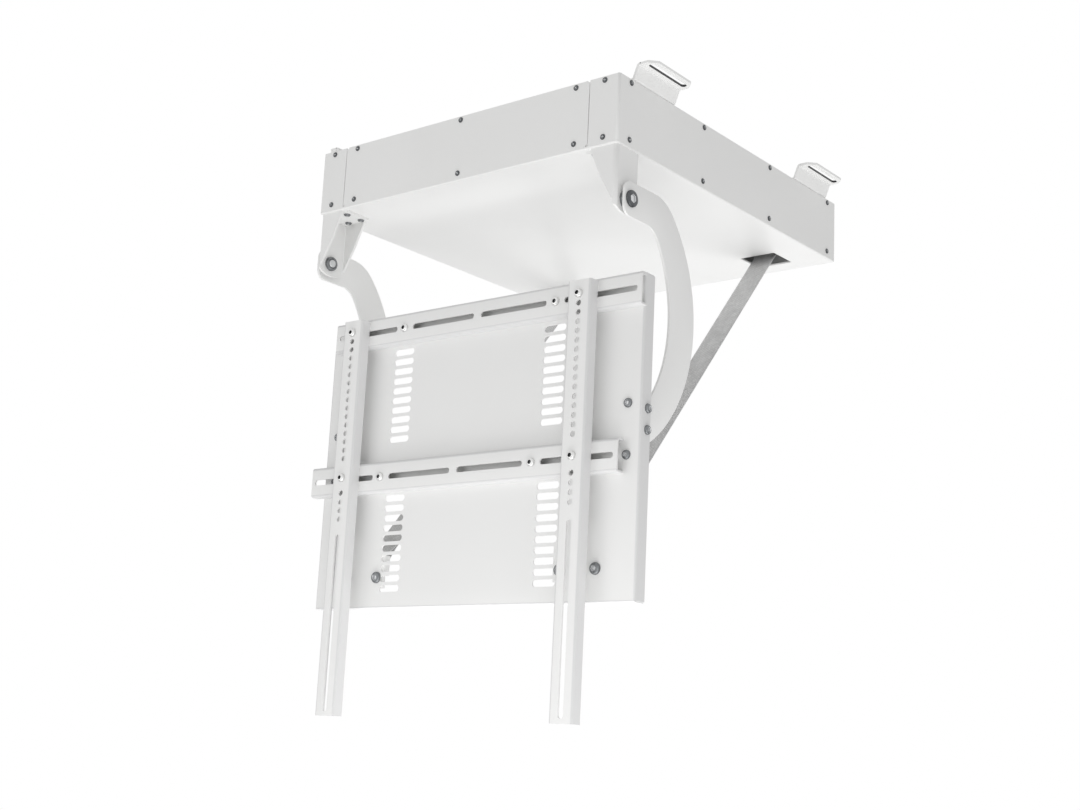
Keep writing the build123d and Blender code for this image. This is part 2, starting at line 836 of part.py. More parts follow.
# End brackets: angles on the housing floor for the motor head and for the idler pin
foot_end = end_bracket_outer - end_bracket_foot
for name, side in (("motor_bracket", -1), ("idler_bracket", 1)):
    with BuildPart() as end_bracket:
        with BuildSketch(cross_plane(drum_y, side)):
            with BuildLine():
                Polyline(
                    (end_bracket_outer, floor_top),
                    (end_bracket_outer, floor_top + end_bracket_height),
                    (end_bracket_inner, floor_top + end_bracket_height),
                    (end_bracket_inner, floor_top + end_bracket_sheet),
                    (foot_end, floor_top + end_bracket_sheet),
                    (foot_end, floor_top),
                    close=True,
                )
            make_face()
        extrude(amount=end_bracket_width / 2, both=True)
        if name == "idler_bracket":
            with BuildSketch(Plane.YZ.offset(side * end_bracket_inner)):
                with Locations((drum_y, drum_z)):
                    RegularPolygon(
                        idler_pin_radius + running_clearance, flat_count, major_radius=False
                    )
            extrude(amount=side * end_bracket_sheet, mode=Mode.SUBTRACT)
    finish(end_bracket, name)

# Control unit: an open case on the floor with its lid, and a circuit board on the case's ledge
control_y = half_depth - control_rear_distance
board_z = floor_top + board_rise
with BuildPart() as control_case:
    with BuildSketch(Plane.XY.offset(floor_top)):
        with Locations((0, control_y)):
            Rectangle(control_width, control_depth)
    extrude(amount=control_height)
    offset(amount=-control_wall, openings=control_case.faces().sort_by(Axis.Z)[-1])
    with BuildSketch(Plane.XY.offset(floor_top + control_wall)):
        with Locations((0, control_y)):
            Rectangle(control_width - 2 * control_wall, control_depth - 2 * control_wall)
            Rectangle(
                control_width - 4 * control_wall, control_depth - 4 * control_wall, mode=Mode.SUBTRACT
            )
    extrude(amount=board_rise - control_wall)
finish(control_case, "control_case")

with BuildPart() as circuit_board:
    with BuildSketch(Plane.XY.offset(board_z)):
        with Locations((0, control_y)):
            Rectangle(
                control_width - 2 * (control_wall + board_gap),
                control_depth - 2 * (control_wall + board_gap),
            )
    extrude(amount=board_sheet)
finish(circuit_board, "circuit_board")

with BuildPart() as control_lid:
    with BuildSketch(Plane.XY.offset(floor_top + control_height)):
        with Locations((0, control_y)):
            Rectangle(control_width, control_depth)
    extrude(amount=lid_sheet)
finish(control_lid, "control_lid")

# Mains inlet: a block through the rear panel behind a flange
with BuildPart() as mains_inlet:
    with BuildSketch(front_plane(half_depth)):
        with Locations((inlet_place, panel_middle)):
            Rectangle(inlet_flange_width, inlet_flange_height)
    extrude(amount=-inlet_flange_sheet)
    with BuildSketch(front_plane(half_depth)):
        with Locations((inlet_place, panel_middle)):
            Rectangle(inlet_width, inlet_height)
    extrude(amount=inlet_depth)
finish(mains_inlet, "mains_inlet")
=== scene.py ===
"""Looks of a motorised flip-down television mount for a ceiling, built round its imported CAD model.

The file follows the mount as it is put together: housing, ceiling tabs, pivots, drive, swinging
plate, channels, rails and straps, and then the studio that it is seen in.
"""

from math import asin, atan2, cos, hypot, pi, radians, sin, sqrt

import bmesh
import bpy
from mathutils import Matrix, Vector


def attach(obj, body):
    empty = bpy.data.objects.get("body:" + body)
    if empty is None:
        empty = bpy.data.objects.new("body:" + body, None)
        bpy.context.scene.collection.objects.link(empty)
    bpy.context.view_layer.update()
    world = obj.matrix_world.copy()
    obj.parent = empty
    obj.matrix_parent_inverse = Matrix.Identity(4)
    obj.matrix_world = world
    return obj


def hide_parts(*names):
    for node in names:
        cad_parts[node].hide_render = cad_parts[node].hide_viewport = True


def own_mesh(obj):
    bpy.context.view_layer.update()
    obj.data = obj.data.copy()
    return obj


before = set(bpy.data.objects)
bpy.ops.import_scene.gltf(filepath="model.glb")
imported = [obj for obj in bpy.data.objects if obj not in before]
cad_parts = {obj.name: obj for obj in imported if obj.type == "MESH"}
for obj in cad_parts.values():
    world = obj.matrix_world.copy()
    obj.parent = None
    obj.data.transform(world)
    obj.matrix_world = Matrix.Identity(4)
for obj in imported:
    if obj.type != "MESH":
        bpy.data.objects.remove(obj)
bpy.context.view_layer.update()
scene = bpy.context.scene
scene.view_settings.view_transform = "Standard"

# Housing: two shallow trays with panels round them, folded from 1.5 and 2 mm cold-rolled sheet.
# The panels wrap the corners, stand on the bottom tray's lip and are screwed to its flange.
# All of it is sprayed with white polyester powder and baked.
MM = 0.001


def linear(code):
    """An sRGB hex colour in linear light."""
    shares = [int(code[i : i + 2], 16) / 255 for i in (1, 3, 5)]
    return [*(s / 12.92 if s <= 0.04045 else ((s + 0.055) / 1.055) ** 2.4 for s in shares), 1.0]


def add(tree, kind, feeds=None, **settings):
    """Adds a node to a tree, with its settings and with what feeds its sockets."""
    made = tree.nodes.new(kind)
    for name, value in settings.items():
        setattr(made, name, value)
    for socket, value in (feeds or {}).items():
        if isinstance(value, bpy.types.NodeSocket):
            tree.links.new(value, made.inputs[socket])
        else:
            made.inputs[socket].default_value = value
    return made


def new_finish(name):
    """A new material, its tree, its shader and the piece's own coordinates in metres."""
    made = bpy.data.materials.new(name)
    made.use_nodes = True
    tree = made.node_tree
    return made, tree, tree.nodes["Principled BSDF"], add(tree, "ShaderNodeTexCoord").outputs["Object"]


# Polyester powder coat, baked on steel: half gloss, very slightly uneven in tone, with orange peel.
# The peel's waves are about 2 mm long; they are drawn 3 mm long so that they show.
powder_coat, tree, shader, place = new_finish("white_powder_coat")
clouds = add(tree, "ShaderNodeTexNoise", {"Vector": place, "Scale": 1 / (110 * MM), "Detail": 2.0})
tone = add(
    tree,
    "ShaderNodeMix",
    {"Factor": clouds.outputs["Fac"], 6: linear("#F3F3F2"), 7: linear("#F8F8F7")},
    data_type="RGBA",
)
tree.links.new(tone.outputs[2], shader.inputs["Base Color"])
peel = add(tree, "ShaderNodeTexNoise", {"Vector": place, "Scale": 1 / (3 * MM), "Detail": 1.5})
gloss = add(
    tree,
    "ShaderNodeMapRange",
    {"Value": peel.outputs["Fac"], "To Min": 0.28, "To Max": 0.36},
)
tree.links.new(gloss.outputs["Result"], shader.inputs["Roughness"])
bump = add(
    tree, "ShaderNodeBump", {"Height": peel.outputs["Fac"], "Strength": 0.12, "Distance": 0.03 * MM}
)
tree.links.new(bump.outputs["Normal"], shader.inputs["Normal"])
shader.inputs["IOR"].default_value = 1.5


def dress(name, finish, rounding=0.0):
    """Gives a CAD piece its finish and, where wanted, the small round that its cut edges have."""
    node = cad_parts[name]
    node.data.materials.clear()
    node.data.materials.append(finish)
    if rounding:
        weld = node.modifiers.new("joined_faces", "WELD")
        weld.merge_threshold = 0.005 * MM
        bevel = node.modifiers.new("cut_edges", "BEVEL")
        bevel.width = rounding * MM
        bevel.segments = 2
        bevel.limit_method = "ANGLE"
        bevel.angle_limit = radians(35)
        bevel.harden_normals = True


coated_edge = 0.4
for name in (
    "bottom_plate",
    "top_plate",
    "left_side_panel",
    "right_side_panel",
    "front_panel",
    "rear_panel",
):
    dress(name, powder_coat, coated_edge)

# Housing screws: M3 pan heads with a cross recess, black zinc plated, through the panels into the trays'
# flanges in an upper and a lower row on every side of the housing.
housing_half_width, housing_half_depth = 220.0, 234.0
housing_top, housing_base = -19.0, -96.0
screw_columns_across = (-201.0, -163.0, 0.0, 163.0, 201.0)
screw_columns_along = (-213.0, -72.0, 72.0, 213.0)
upper_row_drop, lower_row_rise = 4.5, 9.0
screw_rows = (housing_top - upper_row_drop, housing_base + lower_row_rise)
pan_head_radius, pan_head_height = 3.1, 1.3

# Black-passivated zinc on steel: a dull dark grey, a little blotched, with a painted highlight: the faces
# in a head's recess, and a bolt's turned end, are coloured nearly white. Every head carries that as an
# attribute of its faces.
dark_zinc, tree, shader, place = new_finish("black_zinc_plated_steel")
blotch = add(tree, "ShaderNodeTexNoise", {"Vector": place, "Scale": 1 / (2.5 * MM), "Detail": 3.0})
dull = add(
    tree,
    "ShaderNodeMix",
    {"Factor": blotch.outputs["Fac"], 6: linear("#3E4042"), 7: linear("#6C6E70")},
    data_type="RGBA",
)
# Painted highlight: faces marked as recess are coloured nearly white
painted_highlight_mask = add(tree, "ShaderNodeAttribute", attribute_name="recess")
tone = add(
    tree,
    "ShaderNodeMix",
    {"Factor": painted_highlight_mask.outputs["Fac"], 6: dull.outputs[2], 7: linear("#D2D3D4")},
    data_type="RGBA",
)
tree.links.new(tone.outputs[2], shader.inputs["Base Color"])
gloss = add(
    tree,
    "ShaderNodeMapRange",
    {"Value": blotch.outputs["Fac"], "To Min": 0.24, "To Max": 0.42},
)
tree.links.new(gloss.outputs["Result"], shader.inputs["Roughness"])
shader.inputs["Metallic"].default_value = 1.0

# Clear-passivated zinc for what is bolted on from outside: the same plating in a paler grey, with the same
# painted highlight in the recesses
zinc = dark_zinc.copy()
zinc.name = "clear_zinc_plated_steel"
pale = zinc.node_tree.nodes[dull.name]
pale.inputs[6].default_value = linear("#66686A")
pale.inputs[7].default_value = linear("#96989A")


def head_ring(radius, height, shape, steps):
    """Points round a screw head at one height: round, or "turned" (round, and marked for a painted
    highlight), or a hexagon or cross recess.
    """
    points = []
    for step in range(steps):
        turn = 2 * pi * step / steps
        reach = radius
        if shape == "hexagon":
            reach = radius / cos((turn + pi / 6) % (pi / 3) - pi / 6) * cos(pi / 6)
        if shape == "cross":
            away = abs((turn + pi / 4) % (pi / 2) - pi / 4)
            reach = min(radius / cos(away), 0.28 * radius / max(sin(away), 0.01))
        points.append((reach * cos(turn) * MM, reach * sin(turn) * MM, height * MM))
    return points


def piece_from(form, name, sharp_angle):
    """Makes a form an object of its own, smooth up to an angle in degrees."""
    mesh = bpy.data.meshes.new(name)
    form.to_mesh(mesh)
    form.free()
    mesh.shade_smooth()
    mesh.set_sharp_from_angle(angle=radians(sharp_angle))
    made = bpy.data.objects.new(name, mesh)
    scene.collection.objects.link(made)
    return made


def screw_head(name, rings, steps=24):
    """A head lofted through rings from its seat over its top and down to the floor of its recess."""
    form = bmesh.new()
    loops = [
        [form.verts.new(point) for point in head_ring(radius, height, shape, steps)]
        for radius, height, shape in rings
    ]
    # The recess mark is what the finishes colour as painted light: a painted highlight on zinc, painted
    # shade on nickel
    recess = form.faces.layers.float.new("recess")
    form.faces.new(reversed(loops[0]))[recess] = float(rings[0][2] != "round")
    for row, (lower, upper) in enumerate(zip(loops, loops[1:])):
        for step in range(steps):
            after = (step + 1) % steps
            wall = form.faces.new((lower[step], lower[after], upper[after], upper[step]))
            wall[recess] = float(rings[row][2] != "round")
    form.faces.new(loops[-1])[recess] = float(rings[-1][2] != "round")
    return piece_from(form, name, 38)


# Seats carry one fastener each, turned about its axis by chance as a screwdriver leaves it
seating = bpy.data.node_groups.new("fasteners_on_seats", "GeometryNodeTree")
sockets = seating.interface
sockets.new_socket("Seated", in_out="OUTPUT", socket_type="NodeSocketGeometry")
sockets.new_socket("Seats", in_out="INPUT", socket_type="NodeSocketGeometry")
fastener_input = sockets.new_socket("Fastener", in_out="INPUT", socket_type="NodeSocketObject")
turn_input = sockets.new_socket("Turn", in_out="INPUT", socket_type="NodeSocketFloat")
finish_input = sockets.new_socket("Finish", in_out="INPUT", socket_type="NodeSocketMaterial")
given = add(seating, "NodeGroupInput").outputs
facing = add(seating, "GeometryNodeInputNamedAttribute", {"Name": "facing"}, data_type="FLOAT_VECTOR")
upright = add(
    seating, "FunctionNodeAlignRotationToVector", {"Vector": facing.outputs["Attribute"]}, axis="Z"
)
chance = add(seating, "FunctionNodeRandomValue", {2: 0.0, 3: given["Turn"], "Seed": 7}, data_type="FLOAT")
spin = add(
    seating, "FunctionNodeAxisAngleToRotation", {"Axis": (0, 0, 1), "Angle": chance.outputs[1]}
)
turned = add(
    seating,
    "FunctionNodeRotateRotation",
    {"Rotation": upright.outputs["Rotation"], "Rotate By": spin.outputs["Rotation"]},
    rotation_space="LOCAL",
)
fastener = add(seating, "GeometryNodeObjectInfo", {"Object": given["Fastener"]})
placed = add(
    seating,
    "GeometryNodeInstanceOnPoints",
    {
        "Points": given["Seats"],
        "Instance": fastener.outputs["Geometry"],
        "Rotation": turned.outputs["Rotation"],
    },
)
solid = add(seating, "GeometryNodeRealizeInstances", {"Geometry": placed.outputs["Instances"]})
painted = add(
    seating, "GeometryNodeSetMaterial", {"Geometry": solid.outputs["Geometry"], "Material": given["Finish"]}
)
add(seating, "NodeGroupOutput", {"Seated": painted.outputs["Geometry"]})


def settle(worked):
    """Turns an object's evaluated form into a plain mesh and takes its modifiers away."""
    bpy.context.view_layer.update()
    depsgraph = bpy.context.evaluated_depsgraph_get()
    mesh = bpy.data.meshes.new_from_object(worked.evaluated_get(depsgraph), depsgraph=depsgraph)
    worked.modifiers.clear()
    worked.data = mesh
    return worked


def seat_fasteners(name, head, seats, finish, turn=2 * pi):
    """One mesh of like fasteners on their seats: each seat is a place in mm and the way it faces."""
    points = bpy.data.meshes.new(name)
    points.from_pydata([[c * MM for c in seat] for seat, way in seats], [], [])
    ways = points.attributes.new("facing", "FLOAT_VECTOR", "POINT")
    ways.data.foreach_set("vector", [c for seat, way in seats for c in way])
    made = bpy.data.objects.new(name, points)
    scene.collection.objects.link(made)
    seated = made.modifiers.new("seats", "NODES")
    seated.node_group = seating
    seated[fastener_input.identifier] = head
    seated[turn_input.identifier] = turn
    seated[finish_input.identifier] = finish
    settle(made)
    bpy.data.objects.remove(head)
    return made


pan_head = screw_head(
    "pan_head",
    (
        (pan_head_radius, 0.0, "round"),
        (pan_head_radius, 0.45 * pan_head_height, "round"),
        (0.86 * pan_head_radius, 0.84 * pan_head_height, "round"),
        (0.64 * pan_head_radius, pan_head_height, "round"),
        (0.56 * pan_head_radius, pan_head_height, "cross"),
        (0.40 * pan_head_radius, 0.25 * pan_head_height, "cross"),
    ),
)
housing_seats = [
    ((x, side * housing_half_depth, z), (0, side, 0))
    for side in (-1, 1)
    for z in screw_rows
    for x in screw_columns_across
] + [
    ((side * housing_half_width, y, z), (side, 0, 0))
    for side in (-1, 1)
    for z in screw_rows
    for y in screw_columns_along
]
housing_screws = seat_fasteners("housing_screws", pan_head, housing_seats, dark_zinc)
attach(housing_screws, "housing")

# Ceiling tabs: 3 mm steel folded twice, with a long slot for the ceiling screws so that the mount can
# be slid into place. Each foot is screwed down on the top plate.
tab_slot_x, tab_slot_y, tab_slot_length, tab_slot_width = 236.5, 170.0, 66.0, 6.5
slot_shade_margin = 0.15

# Powder coat with painted shade on the slots' walls, coloured dark grey: told apart by the distance to the
# slot
tab_coat_with_painted_light = powder_coat.copy()
tab_coat_with_painted_light.name = "powder_coat_with_bare_slots"
tree = tab_coat_with_painted_light.node_tree
shader = tree.nodes["Principled BSDF"]
place = tree.nodes["Texture Coordinate"].outputs["Object"]
mirrored = add(tree, "ShaderNodeVectorMath", {0: place}, operation="ABSOLUTE")
from_slot = add(
    tree,
    "ShaderNodeVectorMath",
    {0: mirrored.outputs["Vector"], 1: (tab_slot_x * MM, tab_slot_y * MM, 0.0)},
    operation="SUBTRACT",
)
offset = add(tree, "ShaderNodeVectorMath", {0: from_slot.outputs["Vector"]}, operation="ABSOLUTE")
past_centres = add(
    tree,
    "ShaderNodeVectorMath",
    {0: offset.outputs["Vector"], 1: (0.0, (tab_slot_length - tab_slot_width) / 2 * MM, 1.0)},
    operation="SUBTRACT",
)
reach = add(
    tree,
    "ShaderNodeVectorMath",
    {0: past_centres.outputs["Vector"], 1: (0.0, 0.0, 0.0)},
    operation="MAXIMUM",
)
distance = add(tree, "ShaderNodeVectorMath", {0: reach.outputs["Vector"]}, operation="LENGTH")
painted_slot_shade = add(
    tree,
    "ShaderNodeMath",
    {0: distance.outputs["Value"], 1: (tab_slot_width / 2 + slot_shade_margin) * MM},
    operation="LESS_THAN",
)
# Painted highlight: the tabs' coat is coloured lighter than the housing's, for the light that the tabs
# catch from below
painted_lit_coat_tone = shader.inputs["Base Color"].links[0].from_node
painted_lit_coat_tone.inputs[6].default_value = linear("#FAFAF9")
painted_lit_coat_tone.inputs[7].default_value = linear("#FEFEFD")
# Painted shade: the slots' walls are coloured dark grey over the tabs' coat
tone = add(
    tree,
    "ShaderNodeMix",
    {"Factor": painted_slot_shade.outputs["Value"], 6: painted_lit_coat_tone.outputs[2], 7: linear("#2A2B2C")},
    data_type="RGBA",
)
tree.links.new(tone.outputs[2], shader.inputs["Base Color"])
for name in ("front_left_tab", "front_right_tab", "rear_left_tab", "rear_right_tab"):
    dress(name, tab_coat_with_painted_light, coated_edge)

# Pivot brackets: 3 mm steel folded to three walls that taper to the pivot, with a foot turned in under
# the bottom plate. Four button-head screws go up through each foot into nuts in the housing.
bracket_sheet, bracket_recess, bracket_middle = 3.0, 1.5, -211.5
foot_screw_rows = (184.0, 205.0)
foot_screw_spacing = 23.0
foot_head_radius, foot_head_height, foot_socket = 4.0, 2.0, 2.5
foot_seat = housing_base - bracket_sheet
for name in ("left_pivot_bracket", "right_pivot_bracket"):
    dress(name, powder_coat, coated_edge)


def button_head(name, radius, height, socket, shank=0.0, stem=0.0):
    """A domed head with a chamfered hexagon socket, given across its flats, and its shank if any."""
    corner = socket / sqrt(3)
    foot = ((stem, -shank, "round"), (stem, 0.0, "round")) if shank else ()
    return screw_head(
        name,
        (
            *foot,
            (radius, 0.0, "round"),
            (radius, 0.22 * height, "round"),
            (0.95 * radius, 0.52 * height, "round"),
            (0.82 * radius, 0.82 * height, "round"),
            (0.66 * radius, 0.97 * height, "round"),
            (1.12 * corner, height, "hexagon"),
            (corner, 0.9 * height, "hexagon"),
            (corner, 0.4 * height, "hexagon"),
        ),
        36,
    )


foot_seats = [
    ((side * x, bracket_middle + along, foot_seat), (0, 0, -1))
    for side in (-1, 1)
    for x in foot_screw_rows
    for along in (-foot_screw_spacing / 2, foot_screw_spacing / 2)
]
foot_head = button_head("foot_head", foot_head_radius, foot_head_height, foot_socket)
foot_screws = seat_fasteners("foot_button_screws", foot_head, foot_seats, zinc)
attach(foot_screws, "housing")
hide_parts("foot_screws")

# Pivots: an M10 shoulder bolt with a low flat head through each arm, a washer that keeps the arm off the
# bracket, and a low round nut inside it that the bolt's end stands out of. All are zinc plated.
pivot_y, pivot_z = -214.5, -153.5
pivot_radius, pivot_head_radius, pivot_head_height, pivot_socket = 5.0, 9.0, 3.0, 8.0
pivot_nut_radius, pivot_nut_height, bolt_end = 8.5, 4.0, 0.5
washer_thickness, arm_thickness, head_clearance = 4.5, 3.0, 0.2
bracket_face = housing_half_width - bracket_recess
clamped_length = head_clearance + arm_thickness + washer_thickness + bracket_sheet
bolt_length = clamped_length + pivot_nut_height + bolt_end
arm_inner_face = bracket_face + washer_thickness
arm_outer_face = arm_inner_face + arm_thickness
socket_corner = pivot_socket / sqrt(3)
pivot_head = screw_head(
    "pivot_head",
    (
        # The bolt's end is "turned": marked like a recess, so that the finish gives it a painted highlight
        (0.86 * pivot_radius, -bolt_length, "turned"),
        (pivot_radius, 0.8 - bolt_length, "round"),
        (pivot_radius, 0.0, "round"),
        (pivot_head_radius, 0.0, "round"),
        (pivot_head_radius, 0.66 * pivot_head_height, "round"),
        (0.95 * pivot_head_radius, 0.9 * pivot_head_height, "round"),
        (0.88 * pivot_head_radius, pivot_head_height, "round"),
        (1.08 * socket_corner, pivot_head_height, "hexagon"),
        (socket_corner, 0.88 * pivot_head_height, "hexagon"),
        (socket_corner, 0.5 * pivot_head_height, "hexagon"),
    ),
    48,
)
pivot_seats = [
    ((side * (arm_outer_face + head_clearance), pivot_y, pivot_z), (side, 0, 0)) for side in (-1, 1)
]
pivot_bolts = seat_fasteners("pivot_shoulder_bolts", pivot_head, pivot_seats, dark_zinc)
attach(pivot_bolts, "housing")
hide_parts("pivot_bolts")
round_nut = screw_head(
    "round_nut",
    (
        (pivot_nut_radius, 0.0, "round"),
        (pivot_nut_radius, 0.7 * pivot_nut_height, "round"),
        (0.94 * pivot_nut_radius, 0.94 * pivot_nut_height, "round"),
        (0.86 * pivot_nut_radius, pivot_nut_height, "round"),
        (1.18 * pivot_radius, pivot_nut_height, "round"),
        (1.05 * pivot_radius, 0.8 * pivot_nut_height, "round"),
    ),
    48,
)
nut_seats = [
    ((side * (bracket_face - bracket_sheet), pivot_y, pivot_z), (-side, 0, 0)) for side in (-1, 1)
]
pivot_nuts = seat_fasteners("pivot_round_nuts", round_nut, nut_seats, zinc)
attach(pivot_nuts, "housing")
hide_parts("pivot_nuts")
plated_edge = 0.3
dress("pivot_washers", zinc, plated_edge)

# Drive: a tubular motor that winds both straps, between two angle brackets on the housing floor, with
# a control unit in front of it and a mains inlet in the rear panel.
for name in ("motor_bracket", "idler_bracket"):
    dress(name, zinc, plated_edge)

# Hot-dip galvanised tube: a dull grey with the crystals, 6 to 10 mm across, that the zinc sets in.
galvanised, tree, shader, place = new_finish("galvanised_tube")
spangle = add(tree, "ShaderNodeTexVoronoi", {"Vector": place, "Scale": 1 / (8 * MM)})
tone = add(
    tree,
    "ShaderNodeMix",
    {"Factor": spangle.outputs["Color"], 6: linear("#83898C"), 7: linear("#A7ADB0")},
    data_type="RGBA",
)
tree.links.new(tone.outputs[2], shader.inputs["Base Color"])
gloss = add(
    tree, "ShaderNodeMapRange", {"Value": spangle.outputs["Color"], "To Min": 0.34, "To Max": 0.5}
)
tree.links.new(gloss.outputs["Result"], shader.inputs["Roughness"])
shader.inputs["Metallic"].default_value = 1.0
dress("winding_tube", galvanised)

# Moulded ABS: dark, matt, with the fine pitted grain of a spark-eroded mould, about 0.4 mm.
black_plastic, tree, shader, place = new_finish("black_moulded_plastic")
pits = add(tree, "ShaderNodeTexNoise", {"Vector": place, "Scale": 1 / (0.8 * MM), "Detail": 2.0})
tone = add(
    tree,
    "ShaderNodeMix",
    {"Factor": pits.outputs["Fac"], 6: linear("#18181A"), 7: linear("#242427")},
    data_type="RGBA",
)
tree.links.new(tone.outputs[2], shader.inputs["Base Color"])
bump = add(
    tree, "ShaderNodeBump", {"Height": pits.outputs["Fac"], "Strength": 0.4, "Distance": 0.05 * MM}
)
tree.links.new(bump.outputs["Normal"], shader.inputs["Normal"])
shader.inputs["Roughness"].default_value = 0.5
moulded_edge = 0.3
for name in ("motor_head", "idler_plug", "mains_inlet"):
    dress(name, black_plastic, moulded_edge)

# Moulded polycarbonate for the control unit: mid grey, smoother than the black plastic.
grey_plastic, tree, shader, place = new_finish("grey_moulded_plastic")
pits = add(tree, "ShaderNodeTexNoise", {"Vector": place, "Scale": 1 / (1.2 * MM), "Detail": 2.0})
tone = add(
    tree,
    "ShaderNodeMix",
    {"Factor": pits.outputs["Fac"], 6: linear("#6C6F72"), 7: linear("#787B7E")},
    data_type="RGBA",
)
tree.links.new(tone.outputs[2], shader.inputs["Base Color"])
bump = add(
    tree, "ShaderNodeBump", {"Height": pits.outputs["Fac"], "Strength": 0.3, "Distance": 0.04 * MM}
)
tree.links.new(bump.outputs["Normal"], shader.inputs["Normal"])
shader.inputs["Roughness"].default_value = 0.42
case_edge = 0.4
for name in ("control_case", "control_lid"):
    dress(name, grey_plastic, case_edge)

# Glass-epoxy board under green solder mask, with copper tracks about 2.5 mm apart showing through.
board_green, tree, shader, place = new_finish("solder_masked_board")
tracks = add(
    tree,
    "ShaderNodeTexBrick",
    {
        "Vector": place,
        "Color1": linear("#1D5A3A"),
        "Color2": linear("#21633F"),
        "Mortar": linear("#3F8A55"),
        "Scale": 1 / (25 * MM),
        "Mortar Size": 0.012,
        "Brick Width": 0.5,
        "Row Height": 0.1,
    },
)
tree.links.new(tracks.outputs["Color"], shader.inputs["Base Color"])
shader.inputs["Roughness"].default_value = 0.3
dress("circuit_board", board_green)

# Television plate: 1.5 mm sheet with its four edges folded back, the corners relieved so that the
# folds can meet, and four stacks of punched vents with round ends.
plate_half_width, plate_top, plate_height = 227.5, -223.5, 341.0
plate_front, plate_sheet, plate_bend, plate_flange, plate_notch = -184.5, 1.5, 2.5, 16.0, 1.4
vent_length, vent_height, vent_pitch, vent_count, vent_place = 30.0, 7.5, 11.4, 10, 110.7
vent_upper_drop, vent_lower_rise = 45.2, 22.1
plate_base = plate_top - plate_height
plate_middle = plate_top - plate_height / 2

# A flat sheet is cut to size and pierced: every point of the input is a hole with its own size
piercing = bpy.data.node_groups.new("pierced_sheet", "GeometryNodeTree")
sockets = piercing.interface
sockets.new_socket("Sheet", in_out="OUTPUT", socket_type="NodeSocketGeometry")
sockets.new_socket("Holes", in_out="INPUT", socket_type="NodeSocketGeometry")
width_input = sockets.new_socket("Width", in_out="INPUT", socket_type="NodeSocketFloat")
height_input = sockets.new_socket("Height", in_out="INPUT", socket_type="NodeSocketFloat")
thickness_input = sockets.new_socket("Thickness", in_out="INPUT", socket_type="NodeSocketFloat")
steps_input = sockets.new_socket("Corner Steps", in_out="INPUT", socket_type="NodeSocketInt")
coat_input = sockets.new_socket("Finish", in_out="INPUT", socket_type="NodeSocketMaterial")
given = add(piercing, "NodeGroupInput").outputs
blank = add(
    piercing,
    "GeometryNodeCurvePrimitiveQuadrilateral",
    {"Width": given["Width"], "Height": given["Height"]},
)
punch = add(piercing, "GeometryNodeCurvePrimitiveQuadrilateral", {"Width": 1.0, "Height": 1.0})
size = add(
    piercing, "GeometryNodeInputNamedAttribute", {"Name": "hole_size"}, data_type="FLOAT_VECTOR"
).outputs["Attribute"]
struck = add(
    piercing,
    "GeometryNodeInstanceOnPoints",
    {"Points": given["Holes"], "Instance": punch.outputs["Curve"], "Scale": size},
)
edges = add(piercing, "GeometryNodeRealizeInstances", {"Geometry": struck.outputs["Instances"]})
radius = add(piercing, "ShaderNodeSeparateXYZ", {"Vector": size})
end_round = add(
    piercing, "ShaderNodeMath", {0: radius.outputs["Z"], 1: 0.4995}, operation="MULTIPLY"
)
rounded = add(
    piercing,
    "GeometryNodeFilletCurve",
    {
        "Curve": edges.outputs["Geometry"],
        "Count": given["Corner Steps"],
        "Radius": end_round.outputs["Value"],
        "Limit Radius": True,
    },
    mode="POLY",
)
outlines = add(piercing, "GeometryNodeJoinGeometry")
piercing.links.new(rounded.outputs["Curve"], outlines.inputs["Geometry"])
piercing.links.new(blank.outputs["Curve"], outlines.inputs["Geometry"])
face = add(
    piercing, "GeometryNodeFillCurve", {"Curve": outlines.outputs["Geometry"]}, mode="TRIANGLES"
).outputs["Mesh"]
raised = add(piercing, "GeometryNodeExtrudeMesh", {"Mesh": face, "Offset Scale": given["Thickness"]})
raised.inputs["Individual"].default_value = False
under = add(piercing, "GeometryNodeFlipFaces", {"Mesh": face})
both = add(piercing, "GeometryNodeJoinGeometry")
piercing.links.new(raised.outputs["Mesh"], both.inputs["Geometry"])
piercing.links.new(under.outputs["Mesh"], both.inputs["Geometry"])
shell = add(
    piercing, "GeometryNodeMergeByDistance", {"Geometry": both.outputs["Geometry"], "Distance": 0.01 * MM}
)
painted = add(
    piercing,
    "GeometryNodeSetMaterial",
    {"Geometry": shell.outputs["Geometry"], "Material": given["Finish"]},
)
add(piercing, "NodeGroupOutput", {"Sheet": painted.outputs["Geometry"]})


def pierced_sheet(name, width, height, sheet, holes, steps=6):
    """A flat sheet in its own plane with its middle at the origin, pierced by slots and holes in mm."""
    points = bpy.data.meshes.new(name)
    points.from_pydata([(x * MM, y * MM, 0) for x, y, length, wide in holes], [], [])
    sizes = points.attributes.new("hole_size", "FLOAT_VECTOR", "POINT")
    flat = [(length * MM, wide * MM, min(length, wide) * MM) for x, y, length, wide in holes]
    sizes.data.foreach_set("vector", [c for size in flat for c in size])
    made = bpy.data.objects.new(name, points)
    scene.collection.objects.link(made)
    cut = made.modifiers.new("piercing", "NODES")
    cut.node_group = piercing
    cut[width_input.identifier] = width * MM
    cut[height_input.identifier] = height * MM
    cut[thickness_input.identifier] = sheet * MM
    cut[steps_input.identifier] = steps
    cut[coat_input.identifier] = powder_coat
    return settle(made)


def folded_edge(half_width, half_height, bend, sheet, depth, arc_steps=5):
    """Rows of a folded edge: half width, half height and depth behind the face, outside then inside."""
    outer = [
        (bend - bend * sin(pi / 2 * k / arc_steps), bend - bend * cos(pi / 2 * k / arc_steps))
        for k in range(arc_steps + 1)
    ]
    inner_bend = bend - sheet
    inner = [
        (
            bend - inner_bend * sin(pi / 2 * k / arc_steps),
            bend - inner_bend * cos(pi / 2 * k / arc_steps),
        )
        for k in range(arc_steps + 1)
    ]
    rows = outer + [(0.0, depth), (sheet, depth)] + inner[::-1]
    return [(half_width - back, half_height - back, behind) for back, behind in rows]


